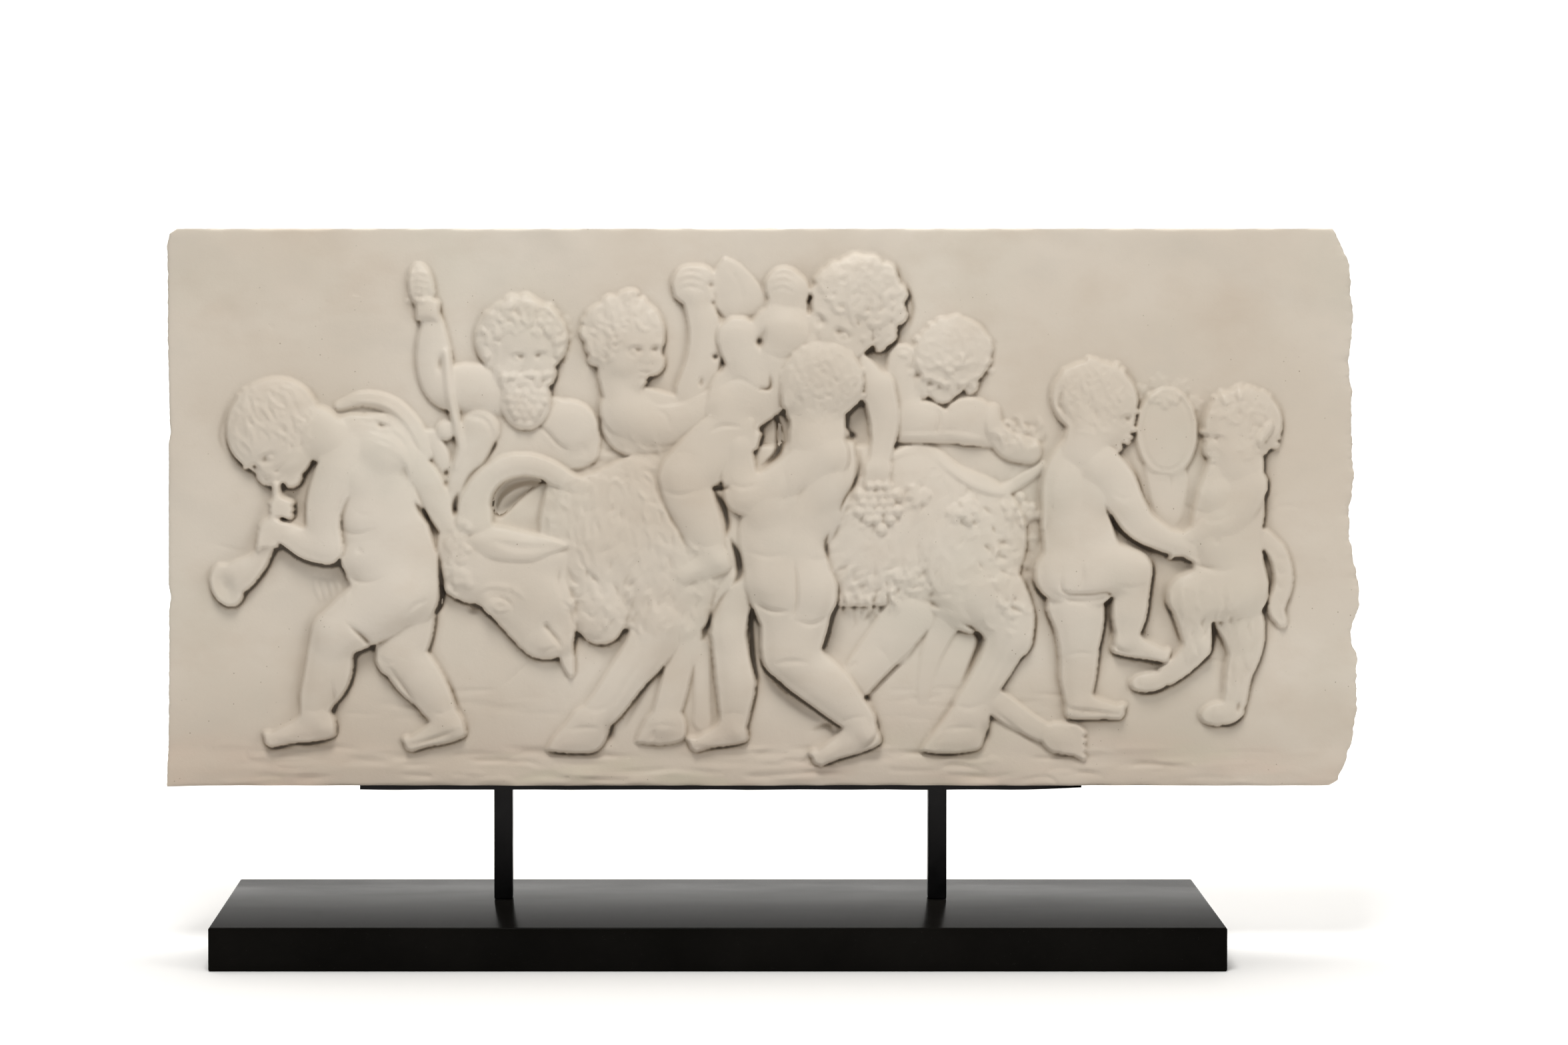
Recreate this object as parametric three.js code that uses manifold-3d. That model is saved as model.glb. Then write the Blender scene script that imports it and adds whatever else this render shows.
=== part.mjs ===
// Carved marble panel in low relief on a black stone base, held by two steel posts and a shelf bar.
// Millimetres, +Z up, relief facing -Y. The origin is the centre of the base slab's underside.
import * as THREE from "three";
import { mergeVertices } from "three/addons/utils/BufferGeometryUtils.js";
import Module from "manifold-3d";

const wasm = await Module();
wasm.setup();
const { Manifold, Mesh: SolidMesh } = wasm;

// Base slab
const BASE_LENGTH = 533;
const BASE_DEPTH = 140;
const BASE_HEIGHT = 23;
const BASE_BEVEL = 1.2;

// Posts and shelf bar
const POST_SIDE = 10;
const POST_X = [-116, 120];
const POST_FRONT_Y = 9.3;
const POST_TOP_Z = 302;
const WELD_SIZE = 3;
const SHELF_LEFT_X = -192;
const SHELF_RIGHT_X = 196;
const SHELF_FRONT_Y = -12;
const SHELF_BACK_Y = 9;
const SHELF_THICKNESS = 2.4;
const SHELF_END_TAPER = 26;

// Panel: u runs right along it, v runs up it, both from its lower left corner
const PANEL_LEFT_X = -295;
const PANEL_BOTTOM_Z = 89;
const PANEL_HEIGHT = 299;
const FIELD_Y = -13;
const PANEL_BACK_Y = 8.7;
const GAP = 0.3;

// Edge lines of the slab as [u, v]: the broken right-hand end, then the worn left-hand end
const RIGHT_BREAK = [
  [623.8, 0], [628.7, 3], [632.7, 13], [636.7, 25], [638.6, 38], [638.8, 68], [636, 76], [635.7, 84],
  [639, 94], [640, 106], [636.7, 121], [634, 135], [634.7, 149], [636.7, 169], [635.3, 185],
  [635.3, 208], [633.7, 228], [636, 252], [633.7, 279], [629.7, 291], [624.8, 299],
];
const LEFT_WEAR = [
  [6, 299], [2, 296.5], [0.6, 290], [0.4, 240], [1.4, 196], [2, 190], [0.8, 184], [0.6, 140],
  [0.4, 108], [1.7, 101], [0.6, 95], [0.3, 40], [0, 0],
];

// Ground strip along the foot: [v, height above the field]
const GROUND_PROFILE = [[0, 3.2], [11, 3.2], [16, 2.2], [22, 0]];

// Facets around each rounded joint
const ROUND_SEGMENTS = 8;
const MERGE_TOLERANCE = 0.2;

// Figures. A limb is a chain of joints [u, v, radius, lift]; swell is how far it bulges per mm of
// radius. A form is an oval [u, v, half width, half height, turn in degrees, lift, bulge].
const FIGURES = {
  beardedFigure: {
    limbs: {
      trunk: [0.22, [186, 206, 22, 1], [184, 186, 23, 1], [180, 170, 20, 1]],
      staff: [0.9, [157, 183, 2.2, 2], [149, 232, 2.2, 2], [140, 256, 2.2, 2]],
      upperArm: [0.5, [168, 218, 13, 2.2], [143, 223, 9.5, 2.5]],
      forearm: [0.58, [143, 223, 9.2, 2.5], [141.5, 250, 5.4, 2.5]],
      lowArm: [0.6, [165, 190, 9.5, 2], [152, 153, 4.6, 3.4]],
    },
    forms: {
      shoulder: [217, 193, 15, 13.5, 0, 2, 7],
      pineCone: [135, 268, 6.5, 10.5, 22, 1.4, 4.5],
      fist: [141, 254, 6.6, 6, 0, 3, 3.4],
      wreathedHair: [190, 240, 26, 22, 0, 1, 6],
      face: [191, 230, 15, 20, 0, 2.4, 7],
      beard: [191, 207, 12, 17, 0, 1.6, 6],
    },
  },
  childBehind: {
    limbs: {
      wineskin: [0.22, [300, 272, 9, 0.8], [308, 262, 12, 0.8], [303, 250, 8, 0.8]],
      chest: [0.34, [252, 196, 19, 1.5], [288, 196, 12, 1.5]],
      raisedArm: [0.56, [276, 206, 10, 2], [287, 238, 8.4, 2.5], [285, 264, 6.4, 2.5]],
      nearArm: [0.55, [244, 200, 11, 3.6], [281, 199, 8.6, 3.6], [290, 206, 6.5, 3.4]],
      neck: [0.4, [242, 222, 11, 2.4], [244, 206, 12, 2.4]],
    },
    forms: {
      hand: [283, 271, 8, 9, 0, 2.8, 3.4],
      skull: [238, 242, 20, 20, 0, 2.6, 8.5],
      face: [250, 233, 14, 16, 20, 3.4, 7],
    },
  },
  bowedChild: {
    limbs: {
      raisedForm: [0.4, [394, 230, 7.5, 2], [397, 200, 8, 2]],
    },
    forms: {
      shoulders: [403, 196, 17, 11, 0, 2, 5.4],
      arm: [430, 196, 14, 13, 0, 1.8, 5],
      skull: [421, 231, 20, 20, 0, 2.4, 8],
      face: [408, 217, 12, 12, 20, 3, 6],
    },
  },
  goat: {
    limbs: {
      barrel: [0.19, [262, 140, 38, 1], [345, 138, 43, 1.2], [425, 130, 37, 1.2]],
      haunch: [0.34, [432, 118, 27, 1.6], [440, 100, 19, 2.4]],
      farForeleg: [0.56, [276, 80, 9.5, 1.4], [272, 58, 7.4, 1.4], [267, 34, 6, 1.6]],
      nearForeleg: [0.58, [259, 84, 13, 2.2], [240, 54, 9, 3], [230, 36, 7, 2.8]],
      nearHoof: [0.62, [230, 36, 7, 2.8], [214, 25, 7.2, 2.6]],
      hindThigh: [0.55, [440, 100, 19, 2.4], [452, 80, 10.5, 2.4]],
      hindShank: [0.58, [452, 80, 10.5, 2.4], [433, 50, 8.2, 2.6], [429, 40, 7.6, 2.6]],
      hindHoof: [0.62, [429, 40, 7.6, 2.6], [414, 25, 7.6, 2.6]],
      neck: [0.28, [236, 130, 26, 2.2], [222, 92, 16, 2.4]],
      head: [0.42, [168, 116, 20, 3], [189, 93, 16, 3.8], [207, 77, 9.5, 3.4]],
      beard: [0.6, [213, 74, 5, 3], [216, 59, 2.6, 3]],
      ear: [0.48, [172, 137, 5.5, 5], [190, 133, 8, 5.6], [213, 129, 3, 4.8]],
      horn: [0.66, [162, 147, 9, 4.5], [164, 158, 8.4, 4.8], [180, 170, 6.8, 4.6], [196, 171, 6.2, 4.4],
        [219, 163.5, 4.4, 3.6], [233, 165, 2.2, 3]],
    },
    forms: {
      shoulder: [272, 128, 34, 46, 8, 1.2, 8.5],
      farHoof: [265, 28, 13, 6.6, 6, 1.6, 5],
      throat: [233, 95, 12.5, 17, 8, 4.4, 5.6],
      jaw: [203, 98, 17, 14, -40, 4, 7.2],
      forelock: [160, 122, 15, 26, 12, 3, 6.2],
    },
  },
  tailAndGarland: {
    limbs: {
      garland: [0.6, [388, 178, 3, 5], [400, 181, 3.4, 5], [422, 170, 3.8, 5], [448, 159, 4, 5],
        [472, 174, 3.4, 5]],
      backBand: [0.55, [388, 187, 3.2, 4], [443, 184, 3, 4]],
      tail: [0.6, [444, 200, 4.2, 4], [446, 190, 5, 4.4], [462, 185, 9, 4.6]],
    },
    forms: {
      grapes: [382, 153, 13, 14, 0, 5, 7],
      leaf: [428, 150, 11, 9, 0, 5, 6.4],
      secondBunch: [459, 148, 11, 8, 0, 3, 5],
    },
  },
  fallenChild: {
    limbs: {
      thigh: [0.55, [398, 84, 12, 2.4], [380, 73, 11, 3], [367, 55, 8.2, 3.4]],
      knee: [0.4, [398, 62, 13, 1.4], [420, 74, 9, 1.4]],
      shin: [0.55, [418, 58, 10, 2], [474, 31, 6.4, 2.6]],
    },
    forms: {
      foot: [482, 27, 11, 8, -10, 2.6, 4.4],
    },
  },
  ridingChild: {
    limbs: {
      forearm: [0.5, [330, 250, 9.5, 4], [331, 268, 9, 3.4]],
      trunk: [0.36, [330, 240, 19, 4], [322, 222, 20, 4], [308, 208, 18, 4]],
      farUpperArm: [0.56, [306, 241, 11, 4.6], [314, 219, 9, 4.6]],
      thigh: [0.5, [303, 198, 15, 4.6], [283, 172, 17, 5.2], [279, 160, 14, 5.2]],
      calf: [0.54, [279, 160, 13.5, 5.2], [288, 138, 10.2, 4.8], [292, 127, 7.4, 4.6]],
      foot: [0.6, [294, 121, 7, 4.4], [277, 113.5, 5, 4.4]],
      nearUpperArm: [0.56, [361, 231, 9.4, 5], [381, 213, 9.2, 4.6]],
      nearForearm: [0.56, [381, 214, 9, 4.6], [382, 172, 6, 5]],
    },
    forms: {
      hip: [306, 207, 18, 12.5, 28, 4.6, 7.4],
      skull: [369, 260, 25, 25, 0, 4.6, 10],
      face: [357, 245, 16, 17, -20, 5.4, 8],
    },
  },
  climbingChild: {
    limbs: {
      back: [0.34, [352, 180, 17, 6.2], [338, 152, 24.5, 6.8], [330, 124, 22, 6.8]],
      hips: [0.42, [331, 124, 22, 6.8], [335, 100, 21, 7]],
      farThigh: [0.55, [309, 108, 11, 4], [301, 82, 9.6, 4]],
      farCalf: [0.56, [301, 82, 9.6, 3.8], [305, 55, 10.6, 3.6], [304, 35, 7.4, 3.2]],
      farFoot: [0.6, [306, 28.5, 6.4, 2.8], [284, 23, 4.4, 2.8]],
      nearThigh: [0.55, [338, 101, 19.5, 7], [334, 72, 15.5, 6.6]],
      nearCalf: [0.56, [334, 72, 15, 6.4], [353, 54, 13, 5.4], [372, 35, 8.2, 4.2]],
      nearFoot: [0.6, [376, 27, 7.6, 3.6], [350, 16, 5, 3.6]],
      upperArm: [0.52, [352, 178, 13.5, 8.5], [310, 156, 10, 8.2]],
      forearm: [0.56, [309, 157, 10.4, 8], [311, 192, 6, 7.2]],
      farShoulder: [0.5, [366, 196, 9.5, 5.4], [372, 176, 7, 5.4]],
      neck: [0.4, [348, 184, 15, 7], [349, 198, 15, 7]],
    },
    forms: {
      hand: [314, 198, 8, 7, 60, 7.2, 3.2],
      skull: [351, 217, 24, 23, 0, 6.4, 10],
    },
  },
  timbrelGroup: {
    limbs: {
      drapery: [0.5, [540, 172, 6, 2], [538, 143, 5, 2]],
    },
    forms: {
      timbrel: [533, 187, 15.5, 24, 6, 1.6, 4],
      fruit: [533, 210, 14, 10, 0, 1.6, 4.5],
    },
  },
  goatLeggedChild: {
    limbs: {
      standingLeg: [0.56, [572, 96, 14, 3], [578, 72, 9, 3], [573, 44, 6.2, 2.6]],
      trunk: [0.4, [572, 168, 15, 3.8], [569, 140, 19.5, 4.2], [573, 106, 18, 4.2]],
      thigh: [0.55, [572, 106, 16.5, 5], [549, 102, 13, 5.6]],
      shank: [0.58, [549, 101, 12, 5.4], [553, 75, 7.4, 4.6]],
      pastern: [0.6, [553, 75, 7.2, 4.4], [537, 60, 5.8, 4]],
      upperArm: [0.55, [580, 162, 10, 6], [566, 141, 8.8, 6]],
      forearm: [0.56, [566, 141, 8.8, 6], [547, 132, 5.6, 5.2]],
      tail: [0.6, [588, 134, 4.5, 2.2], [599, 110, 5, 2.2], [598, 88, 3, 2.2]],
    },
    forms: {
      farHoof: [566, 39, 12, 6.4, 8, 2.6, 4.6],
      nearHoof: [527, 56, 10.5, 5.4, 8, 3.6, 4.6],
      skull: [578, 195, 19, 19, 0, 3.8, 8],
      face: [565, 184, 13, 14, -20, 4.6, 6.6],
    },
  },
  dancingChild: {
    limbs: {
      standingThigh: [0.55, [487, 98, 15.5, 3.4], [489, 76, 11, 3.2]],
      standingCalf: [0.56, [489, 76, 11, 3.2], [488.5, 47, 7.2, 2.8]],
      standingFoot: [0.6, [487, 42, 6.6, 2.6], [511, 40.2, 4.6, 2.6]],
      trunk: [0.4, [495, 180, 15, 4], [488, 156, 19, 4.3], [489, 132, 19.5, 4.6], [492, 118, 22, 4.8]],
      liftedThigh: [0.55, [498, 116, 15, 5.6], [516, 116, 11.5, 6]],
      liftedCalf: [0.56, [517, 116, 11.4, 5.8], [515, 82, 6.6, 4.4]],
      liftedFoot: [0.6, [512, 76, 6, 4], [535, 70.5, 4.4, 4]],
      upperArm: [0.55, [500, 172, 11.5, 6], [514, 152, 9.8, 6]],
      forearm: [0.56, [514, 152, 9.8, 6], [545, 128, 5.6, 5]],
      neck: [0.45, [492, 178, 12, 4.6], [494, 190, 12.5, 4.6]],
    },
    forms: {
      seat: [480, 114, 15, 15, 0, 5, 8.4],
      skull: [496, 205, 21, 21, 0, 3.8, 9],
      face: [508, 195, 12, 14, 10, 4.4, 7],
    },
  },
  pipingChild: {
    limbs: {
      farArm: [0.55, [118, 182, 11, 4], [141, 159, 8.5, 3], [150, 141, 6, 3.5]],
      farThigh: [0.5, [126, 96, 18, 2], [124, 70, 12.5, 3]],
      farCalf: [0.52, [124, 72, 12, 2.5], [134, 59, 12.5, 2.2], [148, 38, 7.6, 2]],
      farFoot: [0.6, [154, 31, 7, 2.2], [131, 23, 4.6, 2.2]],
      trunk: [0.44, [100, 183, 15, 3], [106, 156, 22, 3.5], [112, 126, 21, 4], [122, 102, 20, 4]],
      nearThigh: [0.55, [121, 102, 18, 5], [91, 82, 13.5, 6]],
      nearCalf: [0.56, [91, 82, 13.5, 5.5], [86, 60, 12.6, 4.5], [79, 40, 7.6, 4]],
      nearFoot: [0.6, [84, 32, 7.6, 3.6], [56, 25.5, 4.6, 3.6]],
      neck: [0.5, [86, 184, 13, 4], [78, 190, 14, 4]],
      nearUpperArm: [0.55, [90, 168, 10.5, 8.5], [86, 129, 8.6, 8]],
      nearForearm: [0.55, [86, 128, 8.8, 8], [61, 137, 5.6, 7]],
      pipe: [0.9, [60, 158, 2.4, 6], [54, 128, 3.4, 6]],
      pipeBell: [0.55, [54, 128, 3.6, 5.5], [41, 113, 10, 4.5]],
      mantle: [0.35, [104, 200, 7, 1.2], [130, 192, 8, 1.2], [137, 178, 6, 1.2]],
    },
    forms: {
      buttock: [127, 106, 19, 19, 0, 4, 9],
      bellMouth: [32, 108, 11, 17, 24, 4.5, 4.2],
      hands: [57, 141, 7, 8, 0, 7.4, 3.6],
      skull: [66, 195, 26, 24, -20, 3.5, 9.5],
      face: [56, 178, 16, 17, -30, 4, 8],
    },
  },
};

/** Joins a geometry's shared vertices and makes a solid of it. */
function toSolid(geometry) {
  const bare = geometry.clone();
  bare.deleteAttribute("normal");
  bare.deleteAttribute("uv");
  const merged = mergeVertices(bare, 1e-4);
  return new Manifold(new SolidMesh({
    numProp: 3,
    vertProperties: new Float32Array(merged.attributes.position.array),
    triVerts: new Uint32Array(merged.index.array),
  }));
}

/** Turns a solid back into a flat-shaded geometry. */
function toGeometry(solid) {
  const mesh = solid.getMesh();
  const geometry = new THREE.BufferGeometry();
  geometry.setAttribute("position", new THREE.BufferAttribute(new Float32Array(mesh.vertProperties), 3));
  geometry.setIndex(new THREE.BufferAttribute(new Uint32Array(mesh.triVerts), 1));
  const flat = geometry.toNonIndexed();
  flat.computeVertexNormals();
  return flat;
}

/** A box between two corners. */
function block(low, high) {
  const size = high.map((value, axis) => value - low[axis]);
  const geometry = new THREE.BoxGeometry(...size);
  geometry.translate(...low.map((value, axis) => value + size[axis] / 2));
  return geometry;
}

/** Places a point given on the panel, height mm in front of its field. */
function onPanel(u, v, height) {
  return [PANEL_LEFT_X + u, FIELD_Y - height, PANEL_BOTTOM_Z + v];
}

/** Points of a dome standing on a straight-sided oval foot sunk in the slab. */
function domePoints(u, v, halfWide, halfTall, turn, lift, bulge) {
  const points = [onPanel(u, v, lift + bulge)];
  const cos = Math.cos(THREE.MathUtils.degToRad(turn));
  const sin = Math.sin(THREE.MathUtils.degToRad(turn));
  const rings = [[1, -2], [1, lift], [0.74, lift + bulge * 0.68]];
  for (const [scale, height] of rings) {
    for (let step = 0; step < ROUND_SEGMENTS; step += 1) {
      const angle = (2 * Math.PI * step) / ROUND_SEGMENTS;
      const x = scale * halfWide * Math.cos(angle);
      const y = scale * halfTall * Math.sin(angle);
      points.push(onPanel(u + x * cos - y * sin, v + x * sin + y * cos, height));
    }
  }
  return points;
}

/** A limb: the hull of each pair of neighbouring joints, joined. */
function limb([swell, ...joints]) {
  const domes = joints.map(([u, v, radius, lift]) => domePoints(u, v, radius, radius, 0, lift, swell * radius));
  const pieces = [];
  for (let index = 1; index < domes.length; index += 1) {
    pieces.push(Manifold.hull([...domes[index - 1], ...domes[index]]));
  }
  return pieces;
}

/** Every figure's solids. */
function figureSolids() {
  const solids = [];
  for (const figure of Object.values(FIGURES)) {
    for (const chain of Object.values(figure.limbs)) {
      solids.push(...limb(chain));
    }
    for (const form of Object.values(figure.forms)) {
      solids.push(Manifold.hull(domePoints(...form)));
    }
  }
  return solids;
}

/** The slab's outline as an extrusion between two depths. */
function outlineSolid(frontY, backY) {
  const outline = new THREE.Shape();
  const corners = [...RIGHT_BREAK, ...LEFT_WEAR];
  corners.forEach(([u, v], index) => {
    const x = PANEL_LEFT_X + u;
    const z = PANEL_BOTTOM_Z + v;
    if (index === 0) {
      outline.moveTo(x, z);
    } else {
      outline.lineTo(x, z);
    }
  });
  const geometry = new THREE.ExtrudeGeometry(outline, { depth: backY - frontY, bevelEnabled: false });
  geometry.rotateX(Math.PI / 2);
  geometry.translate(0, backY, 0);
  return toSolid(geometry);
}

/** The low bank of ground the figures tread. */
function groundSolid() {
  const section = new THREE.Shape();
  section.moveTo(-2, -2);
  GROUND_PROFILE.forEach(([v, height]) => section.lineTo(height, v));
  section.lineTo(-2, GROUND_PROFILE[GROUND_PROFILE.length - 1][0]);
  const geometry = new THREE.ExtrudeGeometry(section, { depth: 660, bevelEnabled: false });
  const position = geometry.attributes.position;
  for (let index = 0; index < position.count; index += 1) {
    const height = position.getX(index);
    const v = position.getY(index);
    const u = 650 - position.getZ(index);
    position.setXYZ(index, ...onPanel(u, v, height));
  }
  return toSolid(geometry);
}

function panelGeometry() {
  const slab = outlineSolid(FIELD_Y, PANEL_BACK_Y);
  const window = outlineSolid(FIELD_Y - 30, FIELD_Y + 3);
  const carving = Manifold.union([groundSolid(), ...figureSolids()]).intersect(window);
  return toGeometry(slab.add(carving).simplify(MERGE_TOLERANCE));
}

/** A black stone slab with its edges broken. */
function baseGeometry() {
  const x = BASE_LENGTH / 2 - BASE_BEVEL;
  const y = BASE_DEPTH / 2 - BASE_BEVEL;
  const outline = new THREE.Shape();
  outline.moveTo(-x, -y);
  outline.lineTo(x, -y);
  outline.lineTo(x, y);
  outline.lineTo(-x, y);
  const geometry = new THREE.ExtrudeGeometry(outline, {
    depth: BASE_HEIGHT - 2 * BASE_BEVEL,
    bevelEnabled: true,
    bevelSize: BASE_BEVEL,
    bevelThickness: BASE_BEVEL,
    bevelSegments: 1,
  });
  geometry.translate(0, 0, BASE_BEVEL);
  return toGeometry(toSolid(geometry));
}

/** A square bar standing behind the panel, with a weld fillet under the shelf. */
function postGeometry(centreX) {
  const half = POST_SIDE / 2;
  const shelfUnder = PANEL_BOTTOM_Z - GAP - SHELF_THICKNESS;
  const foot = BASE_HEIGHT + GAP;
  const bar = toSolid(block([centreX - half, POST_FRONT_Y, foot],
    [centreX + half, POST_FRONT_Y + POST_SIDE, POST_TOP_Z]));
  const weld = new THREE.CylinderGeometry(WELD_SIZE * 0.4, WELD_SIZE, WELD_SIZE, 8);
  weld.rotateX(-Math.PI / 2);
  weld.translate(centreX + half, POST_FRONT_Y + WELD_SIZE, shelfUnder - WELD_SIZE);
  return toGeometry(bar.add(toSolid(weld)));
}

/** The flat bar under the panel, its right-hand end ground thin from below. */
function shelfGeometry() {
  const top = PANEL_BOTTOM_Z - GAP;
  const under = top - SHELF_THICKNESS;
  const profile = new THREE.Shape();
  profile.moveTo(SHELF_LEFT_X, under);
  profile.lineTo(SHELF_RIGHT_X - SHELF_END_TAPER, under);
  profile.lineTo(SHELF_RIGHT_X, top - SHELF_THICKNESS * 0.6);
  profile.lineTo(SHELF_RIGHT_X, top);
  profile.lineTo(SHELF_LEFT_X, top);
  const geometry = new THREE.ExtrudeGeometry(profile, { depth: SHELF_BACK_Y - SHELF_FRONT_Y, bevelEnabled: false });
  geometry.rotateX(Math.PI / 2);
  geometry.translate(0, SHELF_BACK_Y, 0);
  return geometry;
}

const marble = new THREE.MeshStandardMaterial({ color: 0xd5cbba, roughness: 0.62, metalness: 0 });
const blackStone = new THREE.MeshStandardMaterial({ color: 0x0e0e0d, roughness: 0.14, metalness: 0 });
const blackSteel = new THREE.MeshStandardMaterial({ color: 0x171716, roughness: 0.45, metalness: 0.6 });

const group = new THREE.Group();

function addPiece(name, geometry, material) {
  const mesh = new THREE.Mesh(geometry, material);
  mesh.name = name;
  group.add(mesh);
}

addPiece("marble_relief_panel", panelGeometry(), marble);
addPiece("shelf_bar", shelfGeometry(), blackSteel);
addPiece("post_left", postGeometry(POST_X[0]), blackSteel);
addPiece("post_right", postGeometry(POST_X[1]), blackSteel);
addPiece("base_slab", baseGeometry(), blackStone);

export default group;
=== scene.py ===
"""Marble relief plaque: carved panel, polished stone base and steel mount, with its studio."""

import math

import bpy
import numpy as np
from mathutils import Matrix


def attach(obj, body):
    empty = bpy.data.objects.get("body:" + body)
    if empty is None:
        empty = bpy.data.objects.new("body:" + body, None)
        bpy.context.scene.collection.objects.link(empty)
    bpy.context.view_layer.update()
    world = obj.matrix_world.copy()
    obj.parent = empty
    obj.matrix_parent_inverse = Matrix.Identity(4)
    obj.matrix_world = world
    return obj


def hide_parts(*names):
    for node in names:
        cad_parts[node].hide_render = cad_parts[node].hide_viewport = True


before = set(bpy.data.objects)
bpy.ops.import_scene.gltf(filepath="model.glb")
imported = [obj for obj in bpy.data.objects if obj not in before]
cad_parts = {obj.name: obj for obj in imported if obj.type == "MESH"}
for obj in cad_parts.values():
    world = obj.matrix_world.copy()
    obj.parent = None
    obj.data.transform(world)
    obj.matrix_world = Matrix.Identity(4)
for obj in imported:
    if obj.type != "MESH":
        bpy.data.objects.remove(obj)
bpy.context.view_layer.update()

bl_info = {
    "name": "Marble Relief Plaque",
    "version": (1, 0, 0),
    "blender": (4, 5, 0),
    "location": "View3D > Sidebar > Plaque",
    "description": "Builds a carved marble panel on its mount, with a studio around it",
    "category": "Object",
}

MM = 0.001

# Panel, in millimetres. u runs right along it and v up it, from its lower left corner.
PANEL_WIDE = 640.0
PANEL_TALL = 299.0
PANEL_LEFT = -295.0
PANEL_FOOT = 89.0
FIELD_FACE = -13.0
PANEL_BACK = 8.7
EDGE_WEAR, EDGE_REACH = 0.9, 0.7
FACE_DEPTH = 2.5  # how far behind the field the face's marks reach
SNAP = 0.2

RIGHT_BREAK = ((0, 623.8), (3, 628.7), (13, 632.7), (25, 636.7), (38, 638.6), (68, 638.8),
    (76, 636), (84, 635.7), (94, 639), (106, 640), (121, 636.7), (135, 634), (149, 634.7),
    (169, 636.7), (185, 635.3), (208, 635.3), (228, 633.7), (252, 636), (279, 633.7), (291, 629.7),
    (299, 624.8),)
LEFT_WEAR = ((0, 0), (40, 0.3), (95, 0.6), (101, 1.7), (108, 0.4), (140, 0.6), (184, 0.8), (190, 2),
    (196, 1.4), (240, 0.4), (290, 0.6), (296.5, 2), (299, 6),)

# Mount, in millimetres
BASE_SIZE = (533.0, 140.0, 23.0)
POST_SIDE = 10.0
POST_X = (-116.0, 120.0)
POST_FRONT = 9.3
POST_TOP = 302.0
SHELF_X = (-192.0, 196.0)
SHELF_Y = (-12.0, 9.0)
SHELF_THICK = 2.4
TAPER_LONG, TAPER_RISE = 26, 1.2
GAP = 0.3
STAND_OFF = 0.1

# Studio, in metres
FLOOR_WIDE, FLOOR_DEEP, FLOOR_MIDDLE = 14, 7, 0.5
WALL_Y = FLOOR_MIDDLE + FLOOR_DEEP / 2
WALL_TALL = 5.0
SWEEP_RADIUS = 1.4
LAMP_TINT = (1.0, 0.985, 0.955)
SKY_TINT = (1.0, 0.99, 0.97, 1)
CAMERA_X = -0.0138
CAMERA_SHIFT = (0.0591, -0.15)
SENSOR_WIDE = 36


# ---------------------------------------------------------------- relief carving

LOW = -60.0  # a layer's height where nothing has been put
FAR = 1e9
TINY = 1e-9
GROOVE_SCALE = 0.28
SEED_FICKLE = 7
GOLDEN_ANGLE = 2.39996
MOST_WORN, MOST_DETAIL, LAST_BLUR = 0.62, 0.8, 0.32
SKULL = (0, 0.12, -0.12)  # the skull's middle, in heads


def blur(field, sigma):
    """Three box blurs along each axis stand for a Gaussian of sigma cells."""
    w = max(1, int(round(math.sqrt(4 * sigma * sigma + 1))) | 1)
    half = w // 2
    for axis in (0, 1):
        for _ in range(3):
            pad = [(half + 1, half) if a == axis else (0, 0) for a in (0, 1)]
            c = np.cumsum(np.pad(field, pad, mode="edge"), axis=axis)
            n = field.shape[axis]
            hi = np.take(c, range(w, w + n), axis=axis)
            lo = np.take(c, range(0, n), axis=axis)
            field = (hi - lo) / w
    return field


def spline(points, steps=6):
    """Catmull-Rom through rows of numbers."""
    p = np.array(points, float)
    if len(p) == 1:
        return p
    if len(p) == 2:
        t = np.linspace(0, 1, steps + 1)[:, None]
        return p[0] * (1 - t) + p[1] * t
    ends = np.vstack([2 * p[0] - p[1], p, 2 * p[-1] - p[-2]])
    out = []
    for i in range(1, len(ends) - 2):
        a, b, c, d = ends[i - 1 : i + 3]
        for t in np.arange(steps) / steps:
            out.append(0.5 * (2 * b + (c - a) * t + (2 * a - 5 * b + 4 * c - d) * t * t
                              + (3 * b - a - 3 * c + d) * t ** 3))
    out.append(p[-1])
    return np.array(out)


def turn(yaw=0, pitch=0, roll=0):
    """The matrix of a head's turn, in degrees."""
    y, p, r = (math.radians(a) for a in (yaw, pitch, roll))
    ry = np.array([[math.cos(y), 0, math.sin(y)], [0, 1, 0], [-math.sin(y), 0, math.cos(y)]])
    rx = np.array([[1, 0, 0], [0, math.cos(p), math.sin(p)], [0, -math.sin(p), math.cos(p)]])
    rz = np.array([[math.cos(r), -math.sin(r), 0], [math.sin(r), math.cos(r), 0], [0, 0, 1]])
    return rz @ rx @ ry


def pair(value):
    """Two radii, given as one or as two."""
    return value if hasattr(value, "__len__") else (value, value)


def pieces(rows, U, V):
    """Each straight piece of a curve, how far along it each place lies, and how far off."""
    for a, b in zip(rows[:-1], rows[1:]):
        d = b[:2] - a[:2]
        t = np.clip(((U - a[0]) * d[0] + (V - a[1]) * d[1]) / max(d @ d, TINY), 0, 1)
        yield a, b, t, np.hypot(U - a[0] - t * d[0], V - a[1] - t * d[1])


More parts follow.
